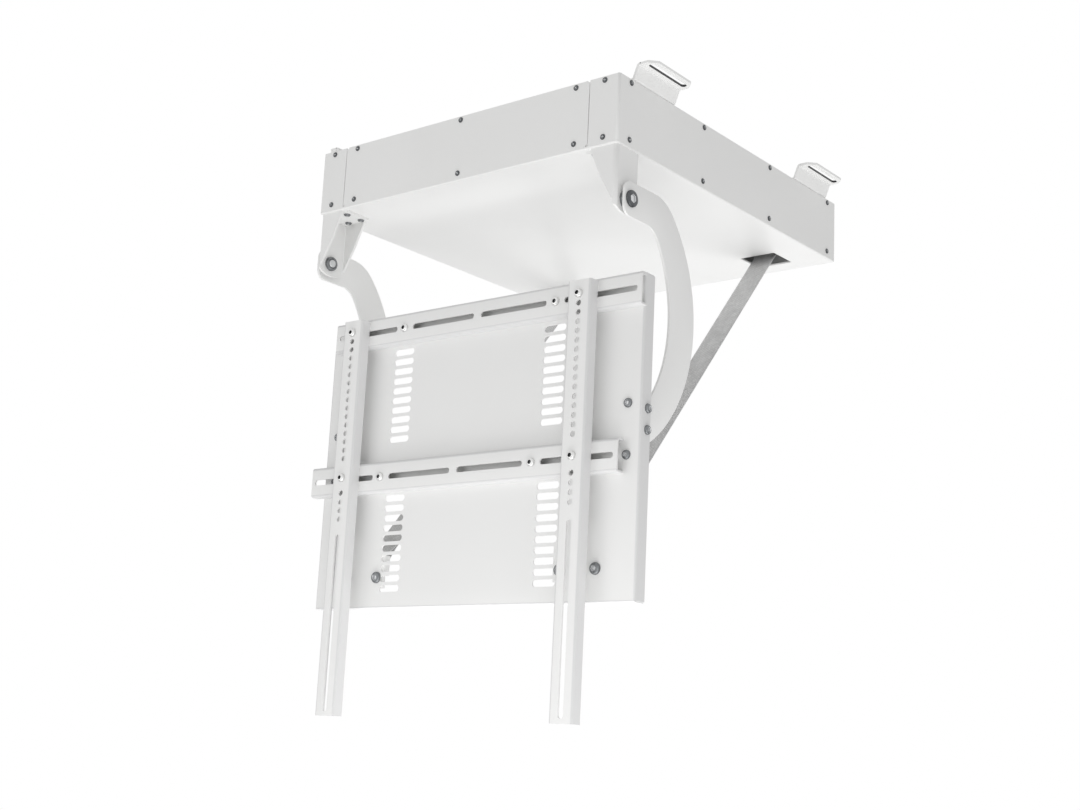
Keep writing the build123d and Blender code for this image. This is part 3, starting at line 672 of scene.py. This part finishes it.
def fold_edges(flat, half_width, half_height, bend, sheet, depth, sides, notch=0.0):
    """Folds edges back from a flat sheet: its face looks along local z, and the folds go down from it."""
    form = bmesh.new()
    form.from_mesh(flat.data)
    flat_half_width, flat_half_height, near = (half_width - bend) * MM, (half_height - bend) * MM, 1e-6
    rim = []
    for found in form.faces:
        middle = found.calc_center_median()
        across = "across" in sides and abs(abs(middle.y) - flat_half_height) < near
        along = "along" in sides and abs(abs(middle.x) - flat_half_width) < near
        if abs(found.normal.z) < 0.5 and (across or along):
            rim.append(found)
    bmesh.ops.delete(form, geom=rim, context="FACES_ONLY")
    rows = folded_edge(half_width, half_height, bend, sheet, depth)
    count = len(rows)
    mitred = "across" in sides and "along" in sides
    for side in sides:
        for sign in (-1, 1):
            loops = []
            for wide, high, behind in rows:
                reach, end = (high, wide) if side == "across" else (wide, high)
                if not mitred:
                    end = half_width if side == "across" else half_height
                relief = (half_width if side == "across" else half_height) - notch
                ends = (-end, -min(end, relief), min(end, relief), end)
                row = []
                for along in ends:
                    spot = (along, sign * reach) if side == "across" else (sign * reach, along)
                    row.append(form.verts.new((spot[0] * MM, spot[1] * MM, (sheet - behind) * MM)))
                loops.append(row)
            flange_start = count // 2 - 2
            flange_end = count // 2 + 1
            for k in range(count - 1):
                in_flange = mitred and flange_start <= k < flange_end
                for step in (1,) if in_flange else (0, 1, 2):
                    corners = (*loops[k][step : step + 2], *loops[k + 1][step : step + 2][::-1])
                    if len({tuple(round(c, 9) for c in v.co) for v in corners}) == 4:
                        form.faces.new(corners)
            if mitred:
                for step in (1, 2):
                    form.faces.new([loops[k][step] for k in range(flange_start, flange_end + 1)])
                for step in (0, 2):
                    form.faces.new(
                        (
                            loops[flange_start][step],
                            loops[flange_start][step + 1],
                            loops[flange_end][step + 1],
                            loops[flange_end][step],
                        )
                    )
            else:
                form.faces.new([row[0] for row in loops])
                form.faces.new([row[3] for row in loops])
    bmesh.ops.remove_doubles(form, verts=form.verts, dist=0.01 * MM)
    bmesh.ops.recalc_face_normals(form, faces=form.faces)
    form.to_mesh(flat.data)
    form.free()
    flat.data.shade_smooth()
    flat.data.set_sharp_from_angle(angle=radians(30))


def stand_up(piece, x, front, z, sheet):
    """Sets a sheet upright in the frame: its face looks at the viewer from the given depth."""
    turn = Matrix(((1, 0, 0, x * MM), (0, 0, -1, (front + sheet) * MM), (0, 1, 0, z * MM), (0, 0, 0, 1)))
    piece.data.transform(turn)
    piece.data.update()


vent_top, vent_base = plate_top - vent_upper_drop, plate_base + vent_lower_rise
vents = [
    (side * vent_place, rise - plate_middle, vent_length, vent_height)
    for side in (-1, 1)
    for row in range(vent_count)
    for rise in (vent_top - row * vent_pitch, vent_base + row * vent_pitch)
]
plate_flat_width = 2 * (plate_half_width - plate_bend)
plate_flat_height = plate_height - 2 * plate_bend
vented_plate = pierced_sheet("vented_plate", plate_flat_width, plate_flat_height, plate_sheet, vents)
fold_edges(
    vented_plate,
    plate_half_width,
    plate_height / 2,
    plate_bend,
    plate_sheet,
    plate_flange,
    ("across", "along"),
    plate_notch,
)
stand_up(vented_plate, 0.0, plate_front, plate_middle, plate_sheet)
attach(vented_plate, "tv_frame")
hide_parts("tv_plate")

# Crescent arms: laser-cut from 3 mm plate and coated. Each pad is clamped between the plate's side
# flange and an angle cleat, with two screws from outside; the cleat has two more through the plate.
arm_end_height, arm_end_reach, arm_end_round = 37.8, 11.2, 11.0
arm_outer_start, arm_outer_reach, arm_outer_drop, arm_outer_round = 61.9, 123.4, 109.0, 46.0
arm_inner_start, arm_inner_reach, arm_inner_drop, arm_inner_round = 42.8, 77.5, 115.0, 26.0
arm_screw_y, arm_screw_z, arm_screw_spacing = plate_front + 10.5, plate_top - 154.2, 22.4
m6_head_radius, m6_head_height, m6_socket, bore_clearance = 5.0, 3.2, 4.0, 0.05
pad_front, pad_rear = plate_front + plate_sheet + 1.5, plate_front + plate_flange + 3.0
pad_top, pad_base, pad_slope = arm_screw_z + 26.2, arm_screw_z - 31.2, 9.0


def circle_through(first, second, third):
    """Centre and radius of the circle through three points."""
    a, b, c = Vector(first), Vector(second), Vector(third)
    ab, ac = b - a, c - a
    size = 2 * (ab.x * ac.y - ab.y * ac.x)
    lift = Vector((ac.y * ab.dot(ab) - ab.y * ac.dot(ac), ab.x * ac.dot(ac) - ac.x * ab.dot(ab))) / size
    return a + lift, lift.length


def arc(centre, reach, start, end, steps=24):
    """Points on a circle from one angle to another."""
    turns = [start + (end - start) * step / steps for step in range(steps + 1)]
    return [(centre[0] + reach * cos(turn), centre[1] + reach * sin(turn)) for turn in turns]


def heading(centre, spot):
    """Angle at which a point is seen from a centre."""
    return atan2(spot[1] - centre[1], spot[0] - centre[0])


def blend(level, centre, reach, rounding):
    """Centre of the round that leads from a level edge into a larger circle."""
    height = level - rounding
    return centre[0] + sqrt((reach - rounding) ** 2 - (height - centre[1]) ** 2), height


arm_top, arm_neck = pivot_z + arm_end_height / 2, pivot_z - arm_end_height / 2
arm_end = pivot_y - arm_end_reach
outer_end, inner_end = (pad_rear, pad_base + pad_slope), (pad_rear, pad_top)
outer_centre, outer_radius = circle_through(
    (pivot_y + arm_outer_start, arm_top), (pivot_y + arm_outer_reach, pivot_z - arm_outer_drop), outer_end
)
inner_centre, inner_radius = circle_through(
    (pivot_y + arm_inner_start, arm_neck), (pivot_y + arm_inner_reach, pivot_z - arm_inner_drop), inner_end
)
outer_blend = blend(arm_top, outer_centre, outer_radius, arm_outer_round)
inner_blend = blend(arm_neck, inner_centre, inner_radius, arm_inner_round)
outer_meet, inner_meet = heading(outer_centre, outer_blend), heading(inner_centre, inner_blend)
arm_outline = (
    arc((arm_end + arm_end_round, arm_top - arm_end_round), arm_end_round, pi, pi / 2)
    + arc(outer_blend, arm_outer_round, pi / 2, outer_meet)
    + arc(outer_centre, outer_radius, outer_meet, heading(outer_centre, outer_end), 72)[1:]
    + [(pad_front, pad_base), (pad_front, pad_top)]
    + arc(inner_centre, inner_radius, heading(inner_centre, inner_end), inner_meet, 72)
    + arc(inner_blend, arm_inner_round, inner_meet, pi / 2)[1:]
    + arc((arm_end + arm_end_round, arm_neck + arm_end_round), arm_end_round, -pi / 2, -pi)
)


def cut_plate(name, outline, hole, faces):
    """A plate cut to an outline in the frame's YZ plane, with one round hole and softly rounded edges."""
    form = bmesh.new()
    count = len(outline)
    outward = []
    for step in range(count):
        before, after = Vector(outline[step - 1]), Vector(outline[(step + 1) % count])
        outward.append(Vector((before.y - after.y, after.x - before.x)).normalized())
    soft = coated_edge
    rows = []
    for inset, depth in ((soft, 0.0), (0.29 * soft, 0.29 * soft), (0.0, soft)):
        rows.append((inset, faces[0] + depth))
        rows.append((inset, faces[1] - depth))
    loops = []
    for inset, x in sorted(rows, key=lambda row: row[1]):
        spots = [Vector(spot) - inset * way for spot, way in zip(outline, outward)]
        loops.append([form.verts.new((x * MM, spot.x * MM, spot.y * MM)) for spot in spots])
    bores = []
    for x in faces:
        spots = arc(hole[:2], hole[2], 0.0, 2 * pi, 32)[:-1]
        bores.append([form.verts.new((x * MM, spot[0] * MM, spot[1] * MM)) for spot in spots])
    for rings in (loops, bores):
        for near, far in zip(rings, rings[1:]):
            for step in range(len(near)):
                after = (step + 1) % len(near)
                form.faces.new((near[step], near[after], far[after], far[step]))
    for rim, bore in ((loops[0], bores[0]), (loops[-1], bores[-1])):
        edges = [form.edges.get((ring[k - 1], ring[k])) for ring in (rim, bore) for k in range(len(ring))]
        bmesh.ops.triangle_fill(form, edges=edges, use_beauty=True)
    bmesh.ops.recalc_face_normals(form, faces=form.faces)
    return piece_from(form, name, 50)


for word, side in (("left", -1), ("right", 1)):
    faces = sorted((side * arm_inner_face, side * arm_outer_face))
    bore = (pivot_y, pivot_z, pivot_radius + bore_clearance)
    arm = cut_plate(f"{word}_crescent_arm", arm_outline, bore, faces)
    arm.data.materials.append(powder_coat)
    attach(arm, "tv_frame")
    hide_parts(f"{word}_arm")
    dress(f"{word}_cleat", powder_coat, coated_edge)
cleat_screw_x, cleat_screw_z, cleat_screw_rise = arm_inner_face - 12.5, plate_top - 164.5, 27.0
arm_seats = [
    ((side * plate_half_width, arm_screw_y, arm_screw_z + rise), (side, 0, 0))
    for side in (-1, 1)
    for rise in (-arm_screw_spacing / 2, arm_screw_spacing / 2)
]
arm_head = button_head("arm_head", m6_head_radius, m6_head_height, m6_socket)
arm_screws = seat_fasteners("arm_socket_screws", arm_head, arm_seats, zinc)
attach(arm_screws, "tv_frame")
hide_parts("arm_screws")
cleat_seats = [
    ((side * cleat_screw_x, plate_front, cleat_screw_z + rise), (0, -1, 0))
    for side in (-1, 1)
    for rise in (-cleat_screw_rise, cleat_screw_rise)
]
cleat_head = button_head("cleat_head", m6_head_radius, m6_head_height, m6_socket)
cleat_screws = seat_fasteners("cleat_socket_screws", cleat_head, cleat_seats, zinc)
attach(cleat_screws, "tv_frame")
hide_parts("cleat_screws")

# Strap anchors: 2.5 mm steel with two ears and a bar across them, on the back of the plate. Two
# larger socket screws go through the plate for each.
anchor_edge = 0.3
anchor_head_radius, anchor_head_height, anchor_socket = 6.5, 4.0, 5.0
for name in ("left_strap_anchor", "right_strap_anchor"):
    dress(name, powder_coat, anchor_edge)
anchor_x, anchor_bolt_z, anchor_bolt_spacing = 154.0, -529.5, 46.0
anchor_seats = [
    ((side * anchor_x + along, plate_front, anchor_bolt_z), (0, -1, 0))
    for side in (-1, 1)
    for along in (-anchor_bolt_spacing / 2, anchor_bolt_spacing / 2)
]
anchor_head = button_head("anchor_head", anchor_head_radius, anchor_head_height, anchor_socket)
anchor_bolts = seat_fasteners("anchor_socket_bolts", anchor_head, anchor_seats, zinc)
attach(anchor_bolts, "tv_frame")
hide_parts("anchor_bolts")

# Channels: C sections roll-formed from 2 mm sheet, open to the plate, with long slots in which the
# rails' nuts slide. Two coated button-head screws hold each one to the plate.
channel_length, channel_height, channel_depth, channel_sheet, channel_bend = 444.0, 35.0, 11.0, 2.0, 3.0
channel_front = plate_front - channel_depth
channel_flat = channel_height - 2 * channel_bend
channel_slot_width, channel_screw_place = 6.5, 110.5
channel_slots = [
    (sign * middle, 0.0, length, channel_slot_width)
    for sign in (-1, 1)
    for middle, length in ((51.5, 93.0), (169.5, 95.0))
]
channels = {"upper": (7.7, plate_top - 19.5), "lower": (-15.3, plate_top - 192.5)}
for level, (middle, z) in channels.items():
    channel = pierced_sheet(
        f"{level}_slotted_channel", channel_length, channel_flat, channel_sheet, channel_slots
    )
    fold_edges(
        channel,
        channel_length / 2,
        channel_height / 2,
        channel_bend,
        channel_sheet,
        channel_depth,
        ("across",),
    )
    stand_up(channel, middle, channel_front, z, channel_sheet)
    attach(channel, "tv_frame")
    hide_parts(f"{level}_channel")

# Bright nickel on the screws that show most: nearly white, with painted shade in the socket, whose faces
# are coloured dark grey.
nickel, tree, shader, place = new_finish("nickel_plated_steel")
blotch = add(tree, "ShaderNodeTexNoise", {"Vector": place, "Scale": 1 / (3 * MM), "Detail": 2.0})
bright = add(
    tree,
    "ShaderNodeMix",
    {"Factor": blotch.outputs["Fac"], 6: linear("#D6D6D5"), 7: linear("#E6E6E5")},
    data_type="RGBA",
)
# Painted shade: faces marked as recess are coloured dark grey
painted_shade_mask = add(tree, "ShaderNodeAttribute", attribute_name="recess")
tone = add(
    tree,
    "ShaderNodeMix",
    {"Factor": painted_shade_mask.outputs["Fac"], 6: bright.outputs[2], 7: linear("#6E6F70")},
    data_type="RGBA",
)
tree.links.new(tone.outputs[2], shader.inputs["Base Color"])
shader.inputs["Metallic"].default_value = 1.0
shader.inputs["Roughness"].default_value = 0.3
channel_seats = [
    ((middle + sign * channel_screw_place, channel_front, z), (0, -1, 0))
    for middle, z in channels.values()
    for sign in (-1, 1)
]
channel_head = button_head("channel_head", m6_head_radius, m6_head_height, m6_socket)
channel_screws = seat_fasteners("channel_button_screws", channel_head, channel_seats, nickel)
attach(channel_screws, "tv_frame")
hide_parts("channel_screws")

# Rails: U sections from 2 mm sheet with their flanges on the channels, a row of 6.5 mm holes and one
# long slot for the television's screws. Each slides on two screws with square nuts in the channels.
rail_length, rail_width, rail_depth, rail_sheet, rail_bend = 457.0, 30.0, 13.0, 2.0, 2.5
rail_front = channel_front - rail_depth
rail_drop, rail_upper_drop, rail_upper_count, rail_lower_drop, rail_lower_count = 4.8, 25.0, 15, 205.4, 4
rail_top = plate_top - rail_drop
rail_middle = rail_top - rail_length / 2
rail_hole, rail_pitch = 6.5, 10.0
rail_slot_length, rail_slot_margin = 199.0, 5.0
rail_screw_length, rail_screw_radius, rail_head_height = 15.0, 3.0, 4.0
rail_rows = [rail_top - rail_upper_drop - row * rail_pitch for row in range(rail_upper_count)]
rail_rows += [rail_top - rail_lower_drop - row * rail_pitch for row in range(rail_lower_count)]
rail_holes = [(0.0, z - rail_middle, rail_hole, rail_hole) for z in rail_rows]
rail_slot_z = rail_top - rail_length + rail_slot_margin + rail_slot_length / 2
rail_holes.append((0.0, rail_slot_z - rail_middle, rail_hole, rail_slot_length))
for word, x in (("left", -174.5), ("right", 159.0)):
    rail_flat = rail_width - 2 * rail_bend
    rail = pierced_sheet(f"{word}_upright_rail", rail_flat, rail_length, rail_sheet, rail_holes)
    fold_edges(rail, rail_width / 2, rail_length / 2, rail_bend, rail_sheet, rail_depth, ("along",))
    stand_up(rail, x, rail_front, rail_middle, rail_sheet)
    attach(rail, f"{word}_upright")
    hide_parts(f"{word}_rail")
    dress(f"{word}_rail_nuts", zinc, plated_edge)
    seats = [((x, rail_front, z), (0, -1, 0)) for middle, z in channels.values()]
    rail_head = button_head(
        "rail_head", m6_head_radius, rail_head_height, m6_socket, rail_screw_length, rail_screw_radius
    )
    screws = seat_fasteners(f"{word}_rail_button_screws", rail_head, seats, nickel)
    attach(screws, f"{word}_upright")
    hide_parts(f"{word}_rail_screws")

# Straps: grey polyester webbing, 31 mm wide, woven in ribs along its length. Each one leaves a turn on the
# motor tube, runs down to the anchor, goes round its bar and is sewn back on itself with a boxed cross.
strap_place, strap_width, strap_thickness, strap_gap = 150.0, 31.0, 1.6, 0.3
drum_y, drum_z, tube_radius = 185.0, -60.0, 17.0
bar_y, bar_z, bar_radius = -173.5, -514.0, 4.0
wrap_radius = tube_radius + strap_gap + strap_thickness / 2
loop_radius = bar_radius + strap_gap + strap_thickness / 2
drum_distance = hypot(drum_y - bar_y, drum_z - bar_z)
run_length = sqrt(drum_distance**2 - wrap_radius**2)
run_angle = heading((bar_y, bar_z), (drum_y, drum_z)) - asin(wrap_radius / drum_distance)
parting, tail_length, stitch_pitch = 34.0, 82.0, 3.2

# Yarn lies in ribs 2.1 mm wide, each float 3.4 mm long and half a float ahead of the rib beside it
webbing, tree, shader, place = new_finish("grey_polyester_webbing")
weave_place = add(tree, "ShaderNodeUVMap", uv_map="weave").outputs["UV"]
millimetres = add(
    tree, "ShaderNodeVectorMath", {0: weave_place, 1: (1 / MM, 1 / MM, 0.0)}, operation="MULTIPLY"
)
floats = add(
    tree,
    "ShaderNodeTexBrick",
    {
        "Vector": millimetres.outputs["Vector"],
        "Color1": linear("#CCCCCC"),
        "Color2": linear("#D8D8D8"),
        "Mortar": linear("#AAAAAA"),
        "Scale": 1.0,
        "Mortar Size": 0.3,
        "Mortar Smooth": 1.0,
        "Brick Width": 3.4,
        "Row Height": 2.1,
    },
)
wear = add(tree, "ShaderNodeTexNoise", {"Vector": place, "Scale": 1 / (12 * MM), "Detail": 4.0})
shade = add(tree, "ShaderNodeMapRange", {"Value": wear.outputs["Fac"], "To Min": 0.78, "To Max": 1.22})
tone = add(
    tree,
    "ShaderNodeVectorMath",
    {0: floats.outputs["Color"], "Scale": shade.outputs["Result"]},
    operation="SCALE",
)
tree.links.new(tone.outputs["Vector"], shader.inputs["Base Color"])
bump = add(
    tree,
    "ShaderNodeBump",
    {"Height": floats.outputs["Fac"], "Strength": 0.6, "Distance": 0.25 * MM},
    invert=True,
)
tree.links.new(bump.outputs["Normal"], shader.inputs["Normal"])
shader.inputs["Roughness"].default_value = 0.72
shader.inputs["Sheen Weight"].default_value = 0.25


def ribbon(form, path, x, closed=False):
    """Adds a band of webbing along a path in the YZ plane, with round selvedges and its weave."""
    weave = form.loops.layers.uv.get("weave") or form.loops.layers.uv.new("weave")
    half, edge = strap_width / 2, strap_thickness / 2
    section = []
    for side in (1, -1):
        for step in range(5):
            turn = side * (-pi / 2 + pi * step / 4)
            section.append((side * (half - edge) + side * edge * cos(turn), edge * sin(turn)))
    count = len(path)
    travelled, loops, marks = 0.0, [], []
    for step, spot in enumerate(path):
        before = path[step - 1] if step or closed else spot
        after = path[(step + 1) % count] if step < count - 1 or closed else spot
        way = (Vector(after) - Vector(before)).normalized()
        if step:
            travelled += (Vector(spot) - Vector(path[step - 1])).length
        loops.append(
            [
                form.verts.new(((x + a) * MM, (spot[0] - way.y * h) * MM, (spot[1] + way.x * h) * MM))
                for a, h in section
            ]
        )
        marks.append(travelled)
    pairs = list(zip(range(count), range(1, count)))
    if closed:
        pairs.append((count - 1, 0))
        marks.append(travelled + (Vector(path[0]) - Vector(path[-1])).length)
    for near, far in pairs:
        along = (marks[near], marks[near + 1])
        for k in range(len(section)):
            after = (k + 1) % len(section)
            band = form.faces.new((loops[near][k], loops[near][after], loops[far][after], loops[far][k]))
            ends = ((along[0], k), (along[0], after), (along[1], after), (along[1], k))
            for corner, (travel, edge_point) in zip(band.loops, ends):
                corner[weave].uv = (travel * MM, section[edge_point][0] * MM)
    if not closed:
        form.faces.new(reversed(loops[0]))
        form.faces.new(loops[-1])


def woven(name, form, body):
    """Makes webbing a piece of its own that rides on a body."""
    bmesh.ops.recalc_face_normals(form, faces=form.faces)
    made = piece_from(form, name, 60)
    made.data.materials.append(webbing)
    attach(made, body)
    return made


def on_run(along, rise):
    """A point of the run: how far it is from the bar's axis and how far above the straight line."""
    return (
        bar_y + along * cos(run_angle) - rise * sin(run_angle),
        bar_z + along * sin(run_angle) + rise * cos(run_angle),
    )


def spread(along):
    """Share of the loop's half width that the two layers still stand apart by, from the bar outwards."""
    share = min(along / parting, 1.0)
    return 1 - share * share * (3 - 2 * share)


# Thread lies on the webbing in stitches that follow each drawn line
sewing = bpy.data.node_groups.new("stitches_on_lines", "GeometryNodeTree")
sockets = sewing.interface
sockets.new_socket("Sewn", in_out="OUTPUT", socket_type="NodeSocketGeometry")
sockets.new_socket("Lines", in_out="INPUT", socket_type="NodeSocketGeometry")
pitch_input = sockets.new_socket("Pitch", in_out="INPUT", socket_type="NodeSocketFloat")
stitch_input = sockets.new_socket("Stitch", in_out="INPUT", socket_type="NodeSocketObject")
yarn_input = sockets.new_socket("Finish", in_out="INPUT", socket_type="NodeSocketMaterial")
given = add(sewing, "NodeGroupInput").outputs
drawn = add(sewing, "GeometryNodeMeshToCurve", {"Mesh": given["Lines"]})
spaced = add(
    sewing,
    "GeometryNodeResampleCurve",
    {"Curve": drawn.outputs["Curve"], "Length": given["Pitch"]},
    mode="LENGTH",
)
course = add(sewing, "GeometryNodeInputTangent")
laid = add(sewing, "FunctionNodeAlignRotationToVector", {"Vector": course.outputs["Tangent"]}, axis="Z")
thread = add(sewing, "GeometryNodeObjectInfo", {"Object": given["Stitch"]})
sewn = add(
    sewing,
    "GeometryNodeInstanceOnPoints",
    {
        "Points": spaced.outputs["Curve"],
        "Instance": thread.outputs["Geometry"],
        "Rotation": laid.outputs["Rotation"],
    },
)
solid = add(sewing, "GeometryNodeRealizeInstances", {"Geometry": sewn.outputs["Instances"]})
painted = add(
    sewing, "GeometryNodeSetMaterial", {"Geometry": solid.outputs["Geometry"], "Material": given["Finish"]}
)
add(sewing, "NodeGroupOutput", {"Sewn": painted.outputs["Geometry"]})

# Twisted polyester thread, paler than the webbing, with its twist 0.8 mm long
thread_finish, tree, shader, place = new_finish("polyester_thread")
twist = add(
    tree, "ShaderNodeTexWave", {"Vector": place, "Scale": 1 / (16 * MM)}, bands_direction="DIAGONAL"
)
tone = add(
    tree,
    "ShaderNodeMix",
    {"Factor": twist.outputs["Fac"], 6: linear("#D2D2D0"), 7: linear("#E2E2E0")},
    data_type="RGBA",
)
tree.links.new(tone.outputs[2], shader.inputs["Base Color"])
shader.inputs["Roughness"].default_value = 0.6

# Each strap is built as it lies at rest; on the mount its run shortens towards the tube by as far as the
# anchor's bar comes up when the plate is stowed
for word, side in (("left", -1), ("right", 1)):
    x = side * strap_place
    form = bmesh.new()
    run = [0.0, 6.0, 12.0, 18.0, 24.0, 30.0, 36.0, 42.0, 60.0]
    run += [60.0 + (run_length - 60.0) * step / 40 for step in range(1, 41)]
    ribbon(form, [on_run(along, loop_radius * spread(along)) for along in run], x)
    below = strap_thickness + 0.1
    tail = [tail_length * step / 20 for step in range(21)]
    ribbon(form, [on_run(along, -below - (loop_radius - below) * spread(along)) for along in tail], x)
    strap = woven(f"{word}_webbing_strap", form, "housing")
    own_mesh(strap)
    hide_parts(f"{word}_strap")

    form = bmesh.new()
    ribbon(form, arc((bar_y, bar_z), loop_radius, 0.0, 2 * pi, 32)[:-1], x, closed=True)
    woven(f"{word}_strap_loop", form, "tv_frame")
    form = bmesh.new()
    ribbon(form, arc((drum_y, drum_z), wrap_radius, 0.0, 2 * pi, 64)[:-1], x, closed=True)
    woven(f"{word}_strap_turn", form, "drum")

    inset, box_start, box_end = 4.0, parting + 6.0, tail_length - 5.0
    reach = strap_width / 2 - inset
    corners = ((-reach, box_start), (reach, box_start), (reach, box_end), (-reach, box_end))
    outer = -below - strap_thickness / 2 - 0.1
    lines = bpy.data.meshes.new(f"{word}_strap_stitches")
    spots = []
    for a, b in corners:
        y, z = on_run(b, outer)
        spots.append(((x + a) * MM, y * MM, z * MM))
    lines.from_pydata(spots + spots, [(0, 1), (1, 2), (2, 3), (3, 0), (4, 6), (5, 7)], [])
    stitches = bpy.data.objects.new(f"{word}_strap_stitches", lines)
    scene.collection.objects.link(stitches)
    waists = ((0.12, -1.2), (0.3, -0.9), (0.36, 0.0), (0.3, 0.9), (0.12, 1.2))
    stitch = screw_head("stitch", [(radius, height, "round") for radius, height in waists], 8)
    sewn_on = stitches.modifiers.new("sewing", "NODES")
    sewn_on.node_group = sewing
    sewn_on[pitch_input.identifier] = stitch_pitch * MM
    sewn_on[stitch_input.identifier] = stitch
    sewn_on[yarn_input.identifier] = thread_finish
    settle(stitches)
    bpy.data.objects.remove(stitch)
    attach(stitches, "housing")
    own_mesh(stitches)

# Studio: a pale floor well below the mount, an even white surround and three large soft lamps: from
# below, from the front left and, weaker, from the right.
floor_height, floor_half = -1.6, 3.0
floor_mesh = bpy.data.meshes.new("studio_floor")
floor_mesh.from_pydata(
    [(x * floor_half, y * floor_half, floor_height) for x, y in ((-1, -1), (1, -1), (1, 1), (-1, 1))],
    [],
    [(0, 1, 2, 3)],
)
floor = bpy.data.objects.new("studio_floor", floor_mesh)
scene.collection.objects.link(floor)
floor_paint, tree, shader, place = new_finish("pale_floor_paint")
grain = add(tree, "ShaderNodeTexNoise", {"Vector": place, "Scale": 1 / (40 * MM), "Detail": 3.0})
tone = add(
    tree,
    "ShaderNodeMix",
    {"Factor": grain.outputs["Fac"], 6: linear("#EDEDED"), 7: linear("#F2F2F2")},
    data_type="RGBA",
)
tree.links.new(tone.outputs[2], shader.inputs["Base Color"])
shader.inputs["Roughness"].default_value = 0.8
floor.data.materials.append(floor_paint)

world = bpy.data.worlds.new("white_studio")
world.use_nodes = True
tree = world.node_tree
sky = tree.nodes["Background"]
rays = add(tree, "ShaderNodeLightPath").outputs
seen = add(
    tree, "ShaderNodeMath", {0: rays["Is Camera Ray"], 1: rays["Is Glossy Ray"]}, operation="MAXIMUM"
)
seen = add(
    tree, "ShaderNodeMath", {0: seen.outputs["Value"], 1: rays["Is Transmission Ray"]}, operation="MAXIMUM"
)
ambient_light = 0.54
strength = add(
    tree, "ShaderNodeMapRange", {"Value": seen.outputs["Value"], "To Min": ambient_light, "To Max": 1.0}
)
sky.inputs["Color"].default_value = (1, 1, 1, 1)
tree.links.new(strength.outputs["Result"], sky.inputs["Strength"])
scene.world = world

lamps = (
    ("lamp_below", (0.15, -0.12, -1.25), (0.0, -0.08, -0.1), 1.2, 8.3),
    ("lamp_front_left", (-1.2, -2.5, -0.9), (0.0, -0.2, -0.3), 2.0, 12.2),
    ("lamp_right", (1.3, -0.95, -1.15), (0.05, -0.2, -0.4), 1.0, 3.9),
)
for name, spot, aim, width, power in lamps:
    light = bpy.data.lights.new(name, "AREA")
    light.shape = "SQUARE"
    light.size = width
    light.energy = power
    lamp = bpy.data.objects.new(name, light)
    lamp.location = spot
    lamp.rotation_euler = (Vector(aim) - Vector(spot)).to_track_quat("-Z", "Y").to_euler()
    lamp.visible_camera = False
    scene.collection.objects.link(lamp)

# Camera: below the mount and to its right, looking up and to the rear, as the photograph was taken.
azimuth, elevation, roll = radians(39.03), radians(-12.40), radians(2.81)
focal_pixels, picture_width = 1571.0, 1080.0
back = Vector((sin(azimuth) * cos(elevation), -cos(azimuth) * cos(elevation), sin(elevation)))
right = (-back).cross(Vector((0, 0, 1))).normalized()
up = right.cross(-back)
right, up = cos(roll) * right + sin(roll) * up, -sin(roll) * right + cos(roll) * up
lens = bpy.data.cameras.new("camera")
lens.sensor_fit = "HORIZONTAL"
lens.sensor_width = 36.0
lens.lens = focal_pixels / picture_width * lens.sensor_width
camera = bpy.data.objects.new("camera", lens)
camera.matrix_world = Matrix.Translation(Vector((1126.4, -1457.2, -712.0)) * MM) @ Matrix(
    (right, up, back)
).transposed().to_4x4()
scene.collection.objects.link(camera)
scene.camera = camera
